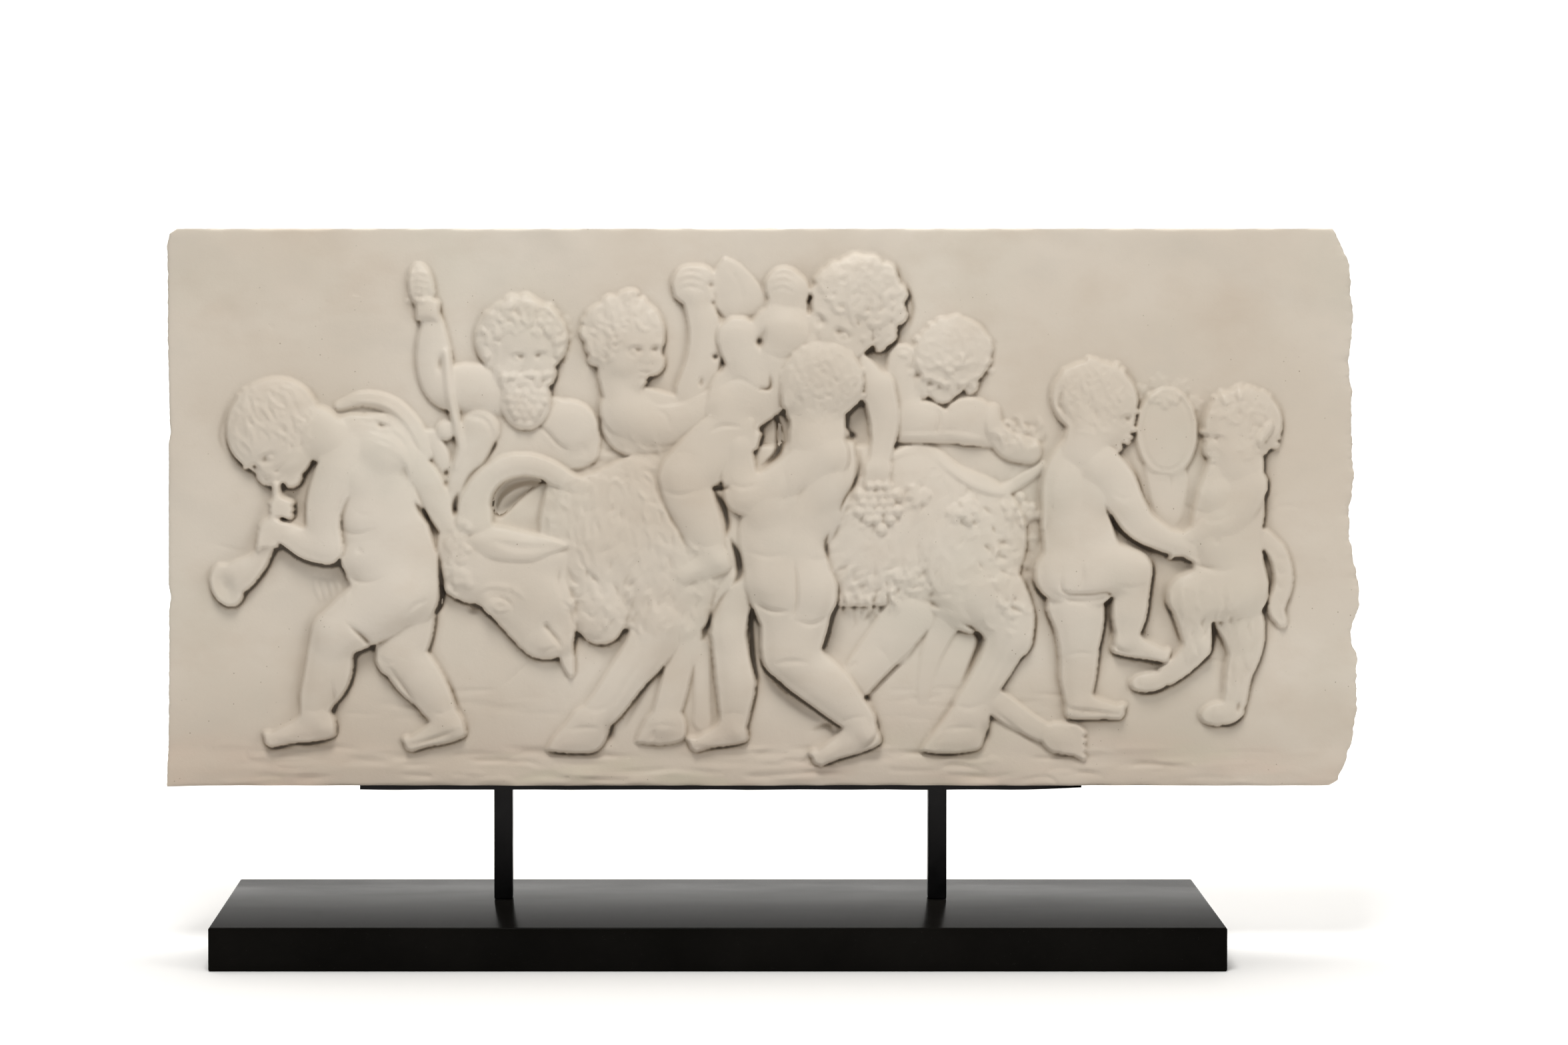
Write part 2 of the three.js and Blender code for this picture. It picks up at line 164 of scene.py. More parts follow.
class Relief:
    """A height field over the panel, carved in layers. Lengths are in millimetres."""

    def __init__(self, width, height, step):
        self.step = step
        self.u = np.linspace(0, width, int(round(width / step)) + 1)
        self.v = np.linspace(0, height, int(round(height / step)) + 1)
        self.h = np.zeros((len(self.v), len(self.u)))
        self.cut = np.zeros_like(self.h)
        drift = blur(np.random.default_rng(SEED_FICKLE).standard_normal(self.h.shape), 7 / step)
        self.fickle = np.clip(0.55 + 0.45 * drift / drift.std(), 0.1, 1.3)

    # windows on the field

    def window(self, u0, u1, v0, v1):
        s = self.step
        i0, i1 = max(0, int(u0 / s)), min(len(self.u), int(u1 / s) + 2)
        j0, j1 = max(0, int(v0 / s)), min(len(self.v), int(v1 / s) + 2)
        return (slice(j0, max(j0, j1)), slice(i0, max(i0, i1)))

    def grid(self, w):
        return np.meshgrid(self.u[w[1]], self.v[w[0]])

    def along(self, rows, pad):
        """The window round a curve, and its grid."""
        w = self.window(rows[:, 0].min() - pad, rows[:, 0].max() + pad,
                        rows[:, 1].min() - pad, rows[:, 1].max() + pad)
        return (w, *self.grid(w))

    def oval(self, centre, radii, angle, reach=1):
        """The window round an ellipse, and its places as parts of the two radii."""
        a, b = pair(radii)
        pad = max(a, b) * reach + 1
        w = self.window(centre[0] - pad, centre[0] + pad, centre[1] - pad, centre[1] + pad)
        U, V = self.grid(w)
        c, s = math.cos(math.radians(angle)), math.sin(math.radians(angle))
        x, y = U - centre[0], V - centre[1]
        return w, (x * c + y * s) / a, (y * c - x * s) / b

    # layers

    def begin(self, conform=0.8, soft=2.0, spread=5.0):
        """Starts a layer that follows what lies under it by the share conform."""
        self.under = blur(self.h, spread / self.step) * conform
        self.top = np.full_like(self.h, LOW)
        self.soft = soft

    def put(self, w, z, inside, fade=1.0):
        """Joins a form to the layer with a soft crease."""
        t = self.top[w]
        k = self.soft * fade
        m = 0.5 * (t + z + np.sqrt((t - z) ** 2 + k * k))
        m = np.where(t < LOW + 1, z, m)
        self.top[w] = np.where(inside, m, t)

    def settle(self, groove=0.8, reach=1.1, melt=1.5):
        """Lays the layer on the field, with a groove round it."""
        mask = self.top > LOW + 1
        weight = blur(mask.astype(float), melt / self.step)
        filled = blur(np.where(mask, self.top, 0.0), melt / self.step)
        self.top = np.where(mask, filled / np.maximum(weight, 1e-3), LOW)
        new = np.where(mask, self.under + self.top, LOW)
        over = new > self.h
        soft = blur(over.astype(float), reach / self.step)
        self.h -= groove * GROOVE_SCALE * soft * (~over) * 2.0 * self.fickle
        self.h = np.maximum(self.h, new)
        self.cut[over] = 0

    # forms

    def limb(self, path, radii, lift=1.0, bulge=0.6, full=1.9):
        """A rounded limb along a curve through path."""
        n = len(path)
        radii = radii if hasattr(radii, "__len__") else [radii] * n
        lift = lift if hasattr(lift, "__len__") else [lift] * n
        rows = spline([(*p, r, l) for p, r, l in zip(path, radii, lift)])
        w, U, V = self.along(rows, rows[:, 2].max() + 1)
        best = np.full(U.shape, LOW)
        rim = np.zeros(U.shape)
        for a, b, t, dist in pieces(rows, U, V):
            r = a[2] + (b[2] - a[2]) * t
            q = np.clip(dist / r, 0, 1)
            z = a[3] + (b[3] - a[3]) * t + bulge * r * (1 - q ** full) ** (1 / full)
            rim = np.where((dist < r) & (z > best), 1 - q ** 5, rim)
            best = np.where(dist < r, np.maximum(best, z), best)
        self.put(w, best, best > LOW + 1, rim)

    def ball(self, centre, radii, angle=0, lift=1.0, bulge=6.0, full=2.0):
        """A dome over an ellipse: bulge is its height."""
        w, p, q = self.oval(centre, radii, angle)
        q = np.hypot(p, q)
        z = lift + bulge * (1 - np.clip(q, 0, 1) ** full) ** (1 / full)
        self.put(w, z, q < 1, np.clip(1 - q ** 5, 0, 1))

    def solid(self, centre, radii, matrix, size, lift, squash, offset=(0, 0)):
        """The front of an ellipsoid given in a turned body's own frame, scaled by size."""
        c = matrix @ (np.array(centre, float) * size)
        m = matrix @ np.diag(1 / (np.array(radii, float) * size) ** 2) @ matrix.T
        cov = np.linalg.inv(m)
        hu, hv = math.sqrt(cov[0, 0]), math.sqrt(cov[1, 1])
        w = self.window(offset[0] + c[0] - hu, offset[0] + c[0] + hu,
                        offset[1] + c[1] - hv, offset[1] + c[1] + hv)
        U, V = self.grid(w)
        x, y = U - offset[0] - c[0], V - offset[1] - c[1]
        b = m[0, 2] * x + m[1, 2] * y
        k = m[0, 0] * x * x + 2 * m[0, 1] * x * y + m[1, 1] * y * y - 1
        disc = b * b - m[2, 2] * k
        z = (-b + np.sqrt(np.maximum(disc, 0))) / m[2, 2] + c[2]
        edge = np.clip(disc / disc.max(initial=TINY), 0, 1)
        self.put(w, lift + squash * np.maximum(z, 0), (disc > 0) & (z > 0), 1 - (1 - edge) ** 3)

    def pillow(self, outline, lift=1.0, bulge=3.0, width=5.0, steps=4):
        """A cushion over a closed outline: rises over width from its edge."""
        rows = spline([*outline, outline[0]], steps)
        w, U, V = self.along(rows, 1)
        inside = np.zeros(U.shape, bool)
        near = np.full(U.shape, FAR)
        for a, b, _, dist in pieces(rows, U, V):
            near = np.minimum(near, dist)
            if b[1] != a[1]:
                crossing = (b[0] - a[0]) * (V - a[1]) / (b[1] - a[1]) + a[0]
                inside ^= ((a[1] > V) != (b[1] > V)) & (U < crossing)
        q = np.clip(near / width, 0, 1)
        self.put(w, lift + bulge * np.sqrt(1 - (1 - q) ** 2), inside, q ** 0.5)

    # surface work on what is already there

    def stroke(self, path, width, amount, taper=True, steps=5, sharp=2.0):
        """Adds amount (negative cuts) along a curve, width to each side."""
        rows = spline(path, steps)
        w, U, V = self.along(rows, width * 2 + 0.5)
        near = np.full(U.shape, FAR)
        along = np.zeros(U.shape)
        for i, (_, _, t, dist) in enumerate(pieces(rows, U, V)):
            closer = dist < near
            near = np.where(closer, dist, near)
            along = np.where(closer, (i + t) / (len(rows) - 1), along)
        local = width * (np.sin(np.pi * np.clip(along, 0.04, 0.96)) ** 0.5 if taper else 1.0)
        fall = np.exp(-(near / np.maximum(local, 0.05)) ** sharp)
        self.h[w] += amount * fall * (local / width if taper else 1)

    def strokes(self, *rows):
        """Strokes given as width, amount, then the points."""
        for width, amount, *path in rows:
            self.stroke(path, width, amount)

    def pierce(self, *args, **how):
        """A stroke that is also remembered as drilled, so that it can be painted dark, as the shade
        and soiling inside a cut.
        """
        before = self.h.copy()
        self.stroke(*args, **how)
        self.cut += np.maximum(before - self.h, 0)

    def sink(self, outline, amount, width):
        """Lowers everything inside an outline, and remembers the drop as drilled so that it is
        painted dark as shade and soiling.
        """
        self.begin(0.0, 0.1)
        self.pillow(outline, 0.0, amount, width, 6)
        down = np.where(self.top > LOW + 1, self.top, 0.0)
        self.h -= down
        self.cut += down

    def keep(self):
        """Remembers the field for the bumps that follow."""
        self.base = self.h.copy()

    def bump(self, centre, radii, amount, angle=0, power=0.5):
        """Lays a dome on what was kept, where that is the highest."""
        w, p, q = self.oval(centre, radii, angle)
        q2 = p ** 2 + q ** 2
        dome = amount * np.clip(1 - q2, 0, 1) ** power
        self.h[w] = np.maximum(self.h[w], self.base[w] + np.where(q2 < 1, dome, -1))

    def dent(self, centre, radii, amount, angle=0):
        """Presses a soft hollow in."""
        w, p, q = self.oval(centre, radii, angle, 2)
        self.h[w] -= amount * np.exp(-(p ** 2 + q ** 2))


def at(c, m, p, size):
    """Where a point of a head's own frame lies on the panel."""
    q = m @ (np.array(p, float) * size)
    return c[0] + q[0], c[1] + q[1]


def head_forms(R, c, size, m, lift, squash, volume=1.0):
    """A head's large forms: skull, jaw, brow, cheeks, ears, chin, nose, lips."""
    def form(p, r):
        R.solid(p, r, m, size, lift, squash, offset=c)

    form((0, 0.12 * volume, -0.12), (0.92 * volume, 0.92 * volume, 1.08 * volume))
    form((0, -0.30, 0.18), (0.74, 0.74, 0.74))
    form((0, 0.10, 0.50), (0.62, 0.42, 0.46))
    for s in (-1, 1):
        form((s * 0.37, -0.52, 0.50), (0.34, 0.32, 0.36))
        form((s * 0.30, -0.20, 0.80), (0.15, 0.10, 0.10))
        form((s * 0.30, -0.04, 0.84), (0.22, 0.07, 0.12))
        form((s * 0.86, -0.28, -0.02), (0.14, 0.26, 0.20))
    form((0, -0.94, 0.56), (0.22, 0.17, 0.22))
    form((0, -0.22, 0.88), (0.09, 0.24, 0.14))
    form((0, -0.44, 0.94), (0.12, 0.10, 0.15))
    form((0, -0.64, 0.88), (0.20, 0.07, 0.13))
    form((0, -0.76, 0.85), (0.16, 0.06, 0.13))


def tufts(R, c, size, m, start, stop, count, r, lift, seed):
    """Lumps of hair along the skull's outline, between two angles in degrees."""
    rng = np.random.default_rng(seed)
    q = m @ np.array(SKULL) * size
    for k in range(count):
        a = math.radians(start + (stop - start) * k / (count - 1)) + rng.normal() * 0.05
        far = size * (0.86 + 0.10 * rng.random())
        big = r * size * (0.75 + 0.5 * rng.random())
        lean = rng.normal() * 30
        R.ball((c[0] + q[0] + far * math.cos(a), c[1] + q[1] + far * math.sin(a)),
               (big * 1.25, big * 0.8), math.degrees(a) + 62 + lean, lift, big * 0.9)


def face_cuts(R, c, size, m):
    """Eyelids, brows, nostrils, mouth line, cut where they face the viewer."""
    def seen(p):
        return (m @ np.array(p, float))[2] > 0.12

    def line(width, amount, *points):
        shown = [at(c, m, p, size) for p in points if seen(p)]
        if len(shown) >= 2:
            R.stroke(shown, width * size, amount * size)

    def spot(test, p, radius, amount):
        if seen(test):
            R.dent(at(c, m, p, size), radius * size, amount * size)

    for s in (-1, 1):
        eye = (s * 0.30, -0.16, 0.85)
        spot(eye, (s * 0.20, -0.16, 0.92), 0.085, 0.085)
        spot(eye, (s * 0.42, -0.20, 0.80), 0.07, 0.03)
        line(0.032, -0.060, (s * 0.16, -0.22, 0.86), (s * 0.30, -0.11, 0.88),
            (s * 0.46, -0.20, 0.76))
        line(0.030, -0.045, (s * 0.17, -0.25, 0.86), (s * 0.30, -0.31, 0.86),
            (s * 0.45, -0.23, 0.76))
        line(0.045, 0.018, (s * 0.12, -0.08, 0.9), (s * 0.30, 0.00, 0.88), (s * 0.50, -0.08, 0.72))
        spot((s * 0.29, -0.2, 0.88), (s * 0.29, -0.2, 0.9), 0.040, 0.045)
        spot((s * 0.08, -0.50, 1.0), (s * 0.08, -0.50, 1.04), 0.035, 0.04)
        line(0.03, -0.025, (s * 0.14, -0.40, 0.96), (s * 0.20, -0.50, 0.90),
            (s * 0.24, -0.62, 0.84))
    line(0.030, -0.075, (-0.22, -0.69, 0.86), (-0.08, -0.70, 0.95), (0, -0.715, 0.97),
         (0.08, -0.70, 0.95), (0.22, -0.69, 0.86))
    line(0.05, -0.03, (-0.14, -0.84, 0.82), (0, -0.86, 0.86), (0.14, -0.84, 0.82))
    line(0.03, -0.02, (-0.06, -0.54, 1.0), (0, -0.60, 0.98))


def curl(R, c, r, rise, spin=1, start=0.0):
    """One snail curl: a dome with a spiral groove."""
    R.bump(c, (r * 1.12, r * 0.86), rise, math.degrees(start * 2))
    pts = []
    for k in range(6):
        t = k / 5
        a = start + spin * t * 2 * math.pi * 0.62
        rr = r * (0.86 - 0.62 * t)
        pts.append((c[0] + rr * math.cos(a), c[1] + rr * math.sin(a)))
    R.stroke(pts, 0.17 * r, -0.42 * rise, steps=3)


def curls(R, c, size, m, count=120, length=0.34, width=0.085, rise=0.062, hook=2.0, spread=0.7,
          face=0.42, seed=1, rad=(0.96, 0.96, 1.1)):
    """Short hooked locks all over the skull, combed away from the crown, leaving the face clear."""
    rng = np.random.default_rng(seed)
    R.keep()
    centre, rad, crown = np.array(SKULL), np.array(rad), np.array((0, 0.9, -0.4))
    hub = m @ centre * size
    for i in range(count):
        y = 1 - 2 * (i + 0.5) / count
        a = i * GOLDEN_ANGLE + rng.normal() * 0.12
        d = np.array([math.sqrt(1 - y * y) * math.cos(a), y, math.sqrt(1 - y * y) * math.sin(a)])
        p = centre + d * rad
        drift, k = rng.normal() * spread, 0.75 + 0.5 * rng.random()
        bend, side = hook * (0.6 + 0.8 * rng.random()) / 5, 1 if rng.random() > 0.5 else -1
        forehead = 0.42 - 0.5 * max(0.0, abs(p[0]) - 0.35)
        if p[1] < -0.75 or (p[2] > 0.10 and p[1] < forehead and abs(p[0]) < face + 0.26):
            continue
        out = m @ (d / rad)
        out /= np.linalg.norm(out)
        if out[2] < 0.10:
            continue
        flow = p - crown
        flow -= d * (flow @ d)
        q, g = m @ p, m @ flow
        heading = math.atan2(g[1], g[0]) + drift
        x, y_ = c[0] + q[0] * size, c[1] + q[1] * size
        edge = 0.35 * max(0.0, 0.45 - out[2])
        fore = 0.45 + 0.55 * max(out[2], 0.0)
        pts = []
        for j in range(5):
            if math.hypot(x - c[0] - hub[0], y_ - c[1] - hub[1]) > 0.93 * size * rad[0]:
                break
            t = j / 4
            w = width * size * k * (1 - 0.45 * t) * (0.7 + 0.3 * max(out[2], 0.0))
            high = rise * size * k * (fore + 0.9 * edge) * (1 - 0.3 * t)
            R.bump((x, y_), (w * 1.35, w), high, math.degrees(heading))
            pts.append((x - math.sin(heading) * w * 0.95 * side,
                        y_ + math.cos(heading) * w * 0.95 * side))
            step = length * size * k / 5 * fore
            x, y_ = x + math.cos(heading) * step, y_ + math.sin(heading) * step
            heading += bend * side
        if len(pts) > 2:
            R.stroke(pts, 0.024 * size, -0.040 * size * fore, steps=2)


def head(R, c, size, tilt, lift, squash, tuft, groove, volume=1.0, features=True, **hair):
    """Ends a layer with a head: tilt is its yaw, pitch and roll, hair its locks."""
    m = turn(*tilt)
    head_forms(R, c, size, m, lift, squash, volume)
    tufts(R, c, size, m, *tuft)
    R.settle(groove)
    if features:
        face_cuts(R, c, size, m)
    curls(R, c, size, m, **hair)


def hand(R, c, angle, size, lift, bulge=0.6, spread=10, bent=0.0, thumb=0):
    """A palm with four fingers pointing along angle (degrees), bent at the middle joint."""
    a = math.radians(angle)
    ux, uy = math.cos(a), math.sin(a)
    px, py = -uy, ux
    R.ball(c, (size * 0.55, size * 0.48), angle, lift, bulge * size * 0.6)
    for i in range(4):
        o = (i - 1.5) / 3 * size * 0.86
        b = math.radians(angle + (i - 1.5) * spread)
        L = size * (1.0 - 0.12 * abs(i - 1.2))
        x0, y0 = c[0] + ux * size * 0.25 + px * o, c[1] + uy * size * 0.25 + py * o
        x1, y1 = x0 + math.cos(b) * L * 0.55, y0 + math.sin(b) * L * 0.55
        b2 = b + math.radians(bent)
        x2, y2 = x1 + math.cos(b2) * L * 0.45, y1 + math.sin(b2) * L * 0.45
        R.limb([(x0, y0), (x1, y1), (x2, y2)], [size * 0.155, size * 0.15, size * 0.12],
               lift + 0.9, 0.9)
    if thumb:
        b = a + math.radians(70) * thumb
        tip = b - 0.5 * thumb
        x0, y0 = c[0] + px * size * 0.3 * thumb, c[1] + py * size * 0.3 * thumb
        R.limb([(x0, y0), (x0 + math.cos(b) * size * 0.35, y0 + math.sin(b) * size * 0.35),
                (x0 + math.cos(tip) * size * 0.75, y0 + math.sin(tip) * size * 0.75)],
               [size * 0.19, size * 0.17, size * 0.13], lift + 1.0, 0.8)


def foot(R, heel, toe, r0, r1, lift, up=1):
    """A foot from heel to toe on a flat sole, with small toes; up is the instep's side."""
    (hx, hy), (tx, ty) = heel, toe
    d = math.hypot(tx - hx, ty - hy)
    ux, uy = (tx - hx) / d, (ty - hy) / d
    px, py = -uy * up, ux * up

    def place(a, b):
        return hx + ux * a + px * b, hy + uy * a + py * b

    lead = math.degrees(math.atan2(uy, ux))
    R.pillow([place(-r0 * 0.8, -r0 * 0.1), place(-r0 * 0.55, -r0 * 0.85),
              place(d * 0.25, -r0 * 0.9), place(d * 0.6, -r1 * 0.95), place(d * 0.92, -r1 * 0.85),
              place(d * 1.03, -r1 * 0.3), place(d * 0.98, r1 * 0.45), place(d * 0.72, r1 * 0.9),
              place(d * 0.42, r0), place(d * 0.22, r0 * 1.6), place(-r0 * 0.3, r0 * 1.5),
              place(-r0 * 0.8, r0 * 0.6)], lift, 0.6 * r0 * 1.05, r0)
    R.ball(place(0, 0), (r0 * 0.8, r0 * 0.8), 0, lift, 0.6 * r0 * 1.15)
    R.ball(place(d * 0.72, 0), (r1 * 1.15, r1 * 0.85), lead, lift, 0.6 * r1 * 1.15)
    for i in range(5):
        t = i / 4
        k = 1.0 - 0.35 * t
        R.ball(place(d * (0.97 - 0.06 * t), (0.62 - 1.35 * t) * r1), (r1 * 0.46 * k, r1 * 0.27 * k),
               lead, lift + 0.6, 0.6 * r1 * 0.9)


def grapes(R, c, radii, r, rise, seed):
    """A heap of berries filling an ellipse."""
    R.keep()
    rng = np.random.default_rng(seed)
    a, b = radii
    y, row = -b, 0
    while y <= b:
        half = a * math.sqrt(max(0, 1 - (y / b) ** 2))
        x = -half + (row % 2) * r * 0.8
        while x <= half:
            u, v = x + rng.normal() * r * 0.12, y + rng.normal() * r * 0.12
            R.bump((c[0] + u, c[1] + v), r * (0.9 + 0.2 * rng.random()), rise)
            x += r * 1.65
        y += r * 1.45
        row += 1


def leaf(R, c, size, angle, rise, lobes=5):
    """A lobed vine leaf with veins."""
    R.keep()
    middle = (lobes - 1) / 2
    ways = [math.radians(angle + (k - middle) * 150 / (lobes - 1)) for k in range(lobes)]
    for k, a in enumerate(ways):
        L = size * (1.0 - 0.16 * abs(k - middle))
        centre = (c[0] + math.cos(a) * L * 0.5, c[1] + math.sin(a) * L * 0.5)
        R.bump(centre, (L * 0.52, L * 0.24), rise, math.degrees(a), 0.35)
    for a in ways:
        tip = (c[0] + math.cos(a) * size * 0.9, c[1] + math.sin(a) * size * 0.9)
        R.stroke([c, tip], size * 0.035, -rise * 0.35, steps=3)


def fleece(R, inside, box, flow, count, length, width, amount, seed, hook=0.5):
    """Wavy locks scattered where inside(u, v), lying along flow(u, v) degrees."""
    rng = np.random.default_rng(seed)
    for k in range(count):
        u, v = rng.uniform(box[0], box[1]), rng.uniform(box[2], box[3])
        g = flow(u, v) + rng.normal() * 12
        L, s = length * rng.uniform(0.6, 1.3), rng.choice((-1, 1))
        wide, rise = width * rng.uniform(0.7, 1.3), amount * rng.uniform(0.6, 1.2)
        if not inside(u, v):
            continue
        g = math.radians(g)
        pts = [(u, v)]
        for j in range(4):
            pts.append((pts[-1][0] + math.cos(g) * L / 4, pts[-1][1] + math.sin(g) * L / 4))
            g += s * hook * math.cos(j * 1.6 + u)
        R.stroke(pts, wide, rise if k % 2 else -0.9 * rise, steps=2)


def ground(R):
    """Soft field, terrain strip along the foot."""
    rng = np.random.default_rng(3)
    noise = rng.standard_normal(R.h.shape)
    s = R.step
    wave = blur(noise, 16 / s)
    wave /= wave.std()
    fine = blur(noise[::-1], 4 / s)
    fine /= fine.std()
    R.h += 0.35 * wave + 0.10 * fine
    U, V = np.meshgrid(R.u, R.v)
    top = 19 + 3 * np.sin(U / 47.0) + 1.6 * np.sin(U / 17.0 + 1) + 1.0 * np.sin(U / 9.0 + 2)
    bank = np.clip((top - V) / 14.0, 0, 1)
    R.h += 2.6 * bank * bank * (3 - 2 * bank)
    # chisel lines across the field above the ground, a short ledge and scratches
    for i in range(46):
        u, v = rng.uniform(90, 200) if i % 2 else rng.uniform(380, 470), rng.uniform(34, 52)
        R.stroke([(u, v), (u + rng.uniform(8, 18), v + rng.uniform(-1, 1)),
            (u + rng.uniform(20, 34), v + rng.uniform(-1, 1))], rng.uniform(0.6, 1.3),
            rng.uniform(-0.5, -0.2))
    R.stroke([(43, 21), (43, 14), (60, 13), (90, 13.5)], 0.9, -0.9)
    for pts in ([(590, 148), (600, 150.5), (611, 149)], [(560, 17), (580, 18), (600, 17)],
            [(20, 131), (32, 128), (46, 126)], [(556, 66), (562, 68), (570, 66)]):
        R.stroke(pts, 0.8, -0.5)
    for _ in range(70):
        R.dent((rng.uniform(5, 630), rng.uniform(24, 295)), (rng.uniform(0.5, 1.1),
            rng.uniform(0.5, 1.1)), rng.uniform(0.2, 0.8))
    # rocky facets under the hoofs and feet
    for _ in range(100):
        u, v = rng.uniform(8, 610), rng.uniform(1, 21)
        R.stroke([(u, v), (u + rng.uniform(6, 18), v + rng.uniform(-1.5, 3)),
            (u + rng.uniform(18, 34), v + rng.uniform(-2, 2))], rng.uniform(0.7, 2.0),
            rng.choice([-1.1, -0.8, 0.7, 0.5]))


def piper(R):
    """Left-hand child blowing a pipe, seen from the side."""
    R.begin(0.25, 2.2)
    # rear arm to the goat's forelock
    R.limb([(118, 182), (134, 168), (141, 159), (150, 141)], [11, 9.5, 8.5, 6], [4, 3.5, 3, 3.5],
        0.55)
    # rear leg
    R.limb([(126, 96), (127, 82), (124, 70)], [18, 15, 12.5], [2, 2.5, 3], 0.5)
    R.limb([(124, 72), (133, 60), (141, 50), (148, 38)], [12, 12.5, 10.5, 7.6], [2.5, 2.2, 2, 2],
        0.52)
    foot(R, (154, 31), (128, 22), 7, 5, 2.2, up=-1)
    R.settle(0.7)
    R.begin(0.25, 3.0)
    # trunk
    R.limb([(101, 184), (106, 168), (111, 152)], [16, 21, 22.5], [3, 3.5, 3.5], 0.40)
    R.limb([(112, 152), (116, 137), (120, 121), (125, 106)], [22.5, 24, 25, 22], [3.5, 4, 4, 4],
        0.40)
    R.ball((107, 123), (14, 11), 8, 5, 8.4)
    R.ball((107, 143), (14, 10), 0, 5, 7.6)
    R.ball((127, 106), (19, 19), 0, 4, 9)
    R.ball((101, 165), (12, 12), 20, 4, 9.5)
    R.ball((116, 178), (14, 12), -30, 4, 8)
    # front leg
    R.limb([(121, 102), (106, 92), (91, 82)], [18, 16.5, 13.5], [5, 5.5, 6], 0.55)
    R.limb([(91, 82), (88, 73), (86, 60), (81, 48), (79, 40)], [13.5, 12.4, 12.6, 9.8, 7.6],
        [5.5, 5, 4.5, 4, 4], 0.56)
    foot(R, (84, 32), (53, 25), 7.6, 5.4, 3.6, up=-1)
    R.settle(0.8)
    # head and neck
    R.begin(0.3, 1.6)
    R.limb([(86, 186), (80, 190)], [13, 14], 4, 0.5)
    head(R, (58, 190), 25.0, (-50, -8, 45), 3.2, 0.34, (60, 300, 19, 0.06, 3.4, 12), 0.7,
        volume=1.05, count=420, length=0.46, width=0.060, rise=0.036, hook=0.8, spread=0.25,
        seed=11)
    # near arm, hands and the pipe
    R.begin(0.3, 1.6)
    R.limb([(58.9, 161.6), (59, 145), (54, 128)], [2.4, 2.6, 3.4], [6, 6, 6], 0.9)
    R.limb([(54, 128), (48, 120), (39, 113)], [3.4, 5.6, 8.6], [5.5, 5, 4.5], 0.55)
    R.ball((32, 108), (8.4, 12), 24, 4.5, 4.0)
    R.settle(0.6)
    R.dent((31.5, 107.5), (4.4, 7.4), 3.6, 24)
    R.begin(0.3, 1.8)
    R.limb([(100, 183), (93, 171), (86, 156), (84, 142), (86, 129)], [13, 12, 10.4, 9.4, 8.6],
        [0.5, 4.5, 8.2, 8.5, 8], 0.55)
    R.limb([(86, 128), (76, 130), (66, 135), (61, 137)], [8.8, 8.2, 6.6, 5.6], [8, 8, 7.5, 7], 0.55)
    for k in range(4):
        R.limb([(60 - k * 0.6, 141 - k * 3.6), (54 - k * 0.8, 142 - k * 3.7),
            (51 - k * 0.6, 139.5 - k * 3.6)], [2.2, 2.0, 1.7], 8.2, 0.8)
    for k in range(3):
        R.limb([(66, 152 - k * 3.4), (60, 154 - k * 3.4), (56.5, 152 - k * 3.4)], [2.1, 1.9, 1.6],
            7.4, 0.8)
    R.settle(0.6)
    # creases
    R.strokes(
        (1.1, -0.9, (92, 139), (102, 136), (114, 139)),
        (1.2, -1.1, (96, 114), (106, 110), (118, 113)),
        (1.0, -0.9, (128, 92), (134, 98), (141, 101)),
        (1.0, -0.5, (100, 150), (106, 146), (113, 148)))
    R.dent((104, 127), (1.6, 1.2), 1.3)
    R.strokes(
        (0.9, -0.6, (80, 90), (86, 92), (93, 90)), (0.8, -0.6, (72, 42), (79, 40.5), (86, 43)),
        (0.8, -0.6, (140, 40.5), (147, 39), (153, 42)),
        (0.9, -0.5, (112, 71), (118, 67), (125, 68)))
    # mantle over the shoulder and back
    R.begin(0.5, 1.6)
    R.limb([(92, 204), (106, 208), (121, 204), (133, 192), (139, 178)], [2.4, 4, 4.6, 4.6, 3.4],
        [0.8, 1.2, 1.2, 1.2, 1.4], 0.6)
    R.limb([(108, 198), (119, 196), (128, 187), (133, 176)], [2.4, 3.4, 3.8, 3],
        [1.0, 1.4, 1.6, 1.6], 0.6)
    R.settle(0.5, melt=0.8)
    for k in range(6):
        R.stroke([(100 + k * 2, 207 - k * 4.2), (116 + k * 1.5, 205 - k * 5),
            (128 + k * 0.5, 196 - k * 5.5), (137 - k * 1.5, 181 - k * 4)], 1.7,
            1.5 if k % 2 == 0 else 0.9, sharp=2)
    for k in range(5):
        R.stroke([(79 + k * 4, 112 - k * 0.6), (80 + k * 4.2, 106), (83 + k * 3.4, 99)], 1.3, 1.4)


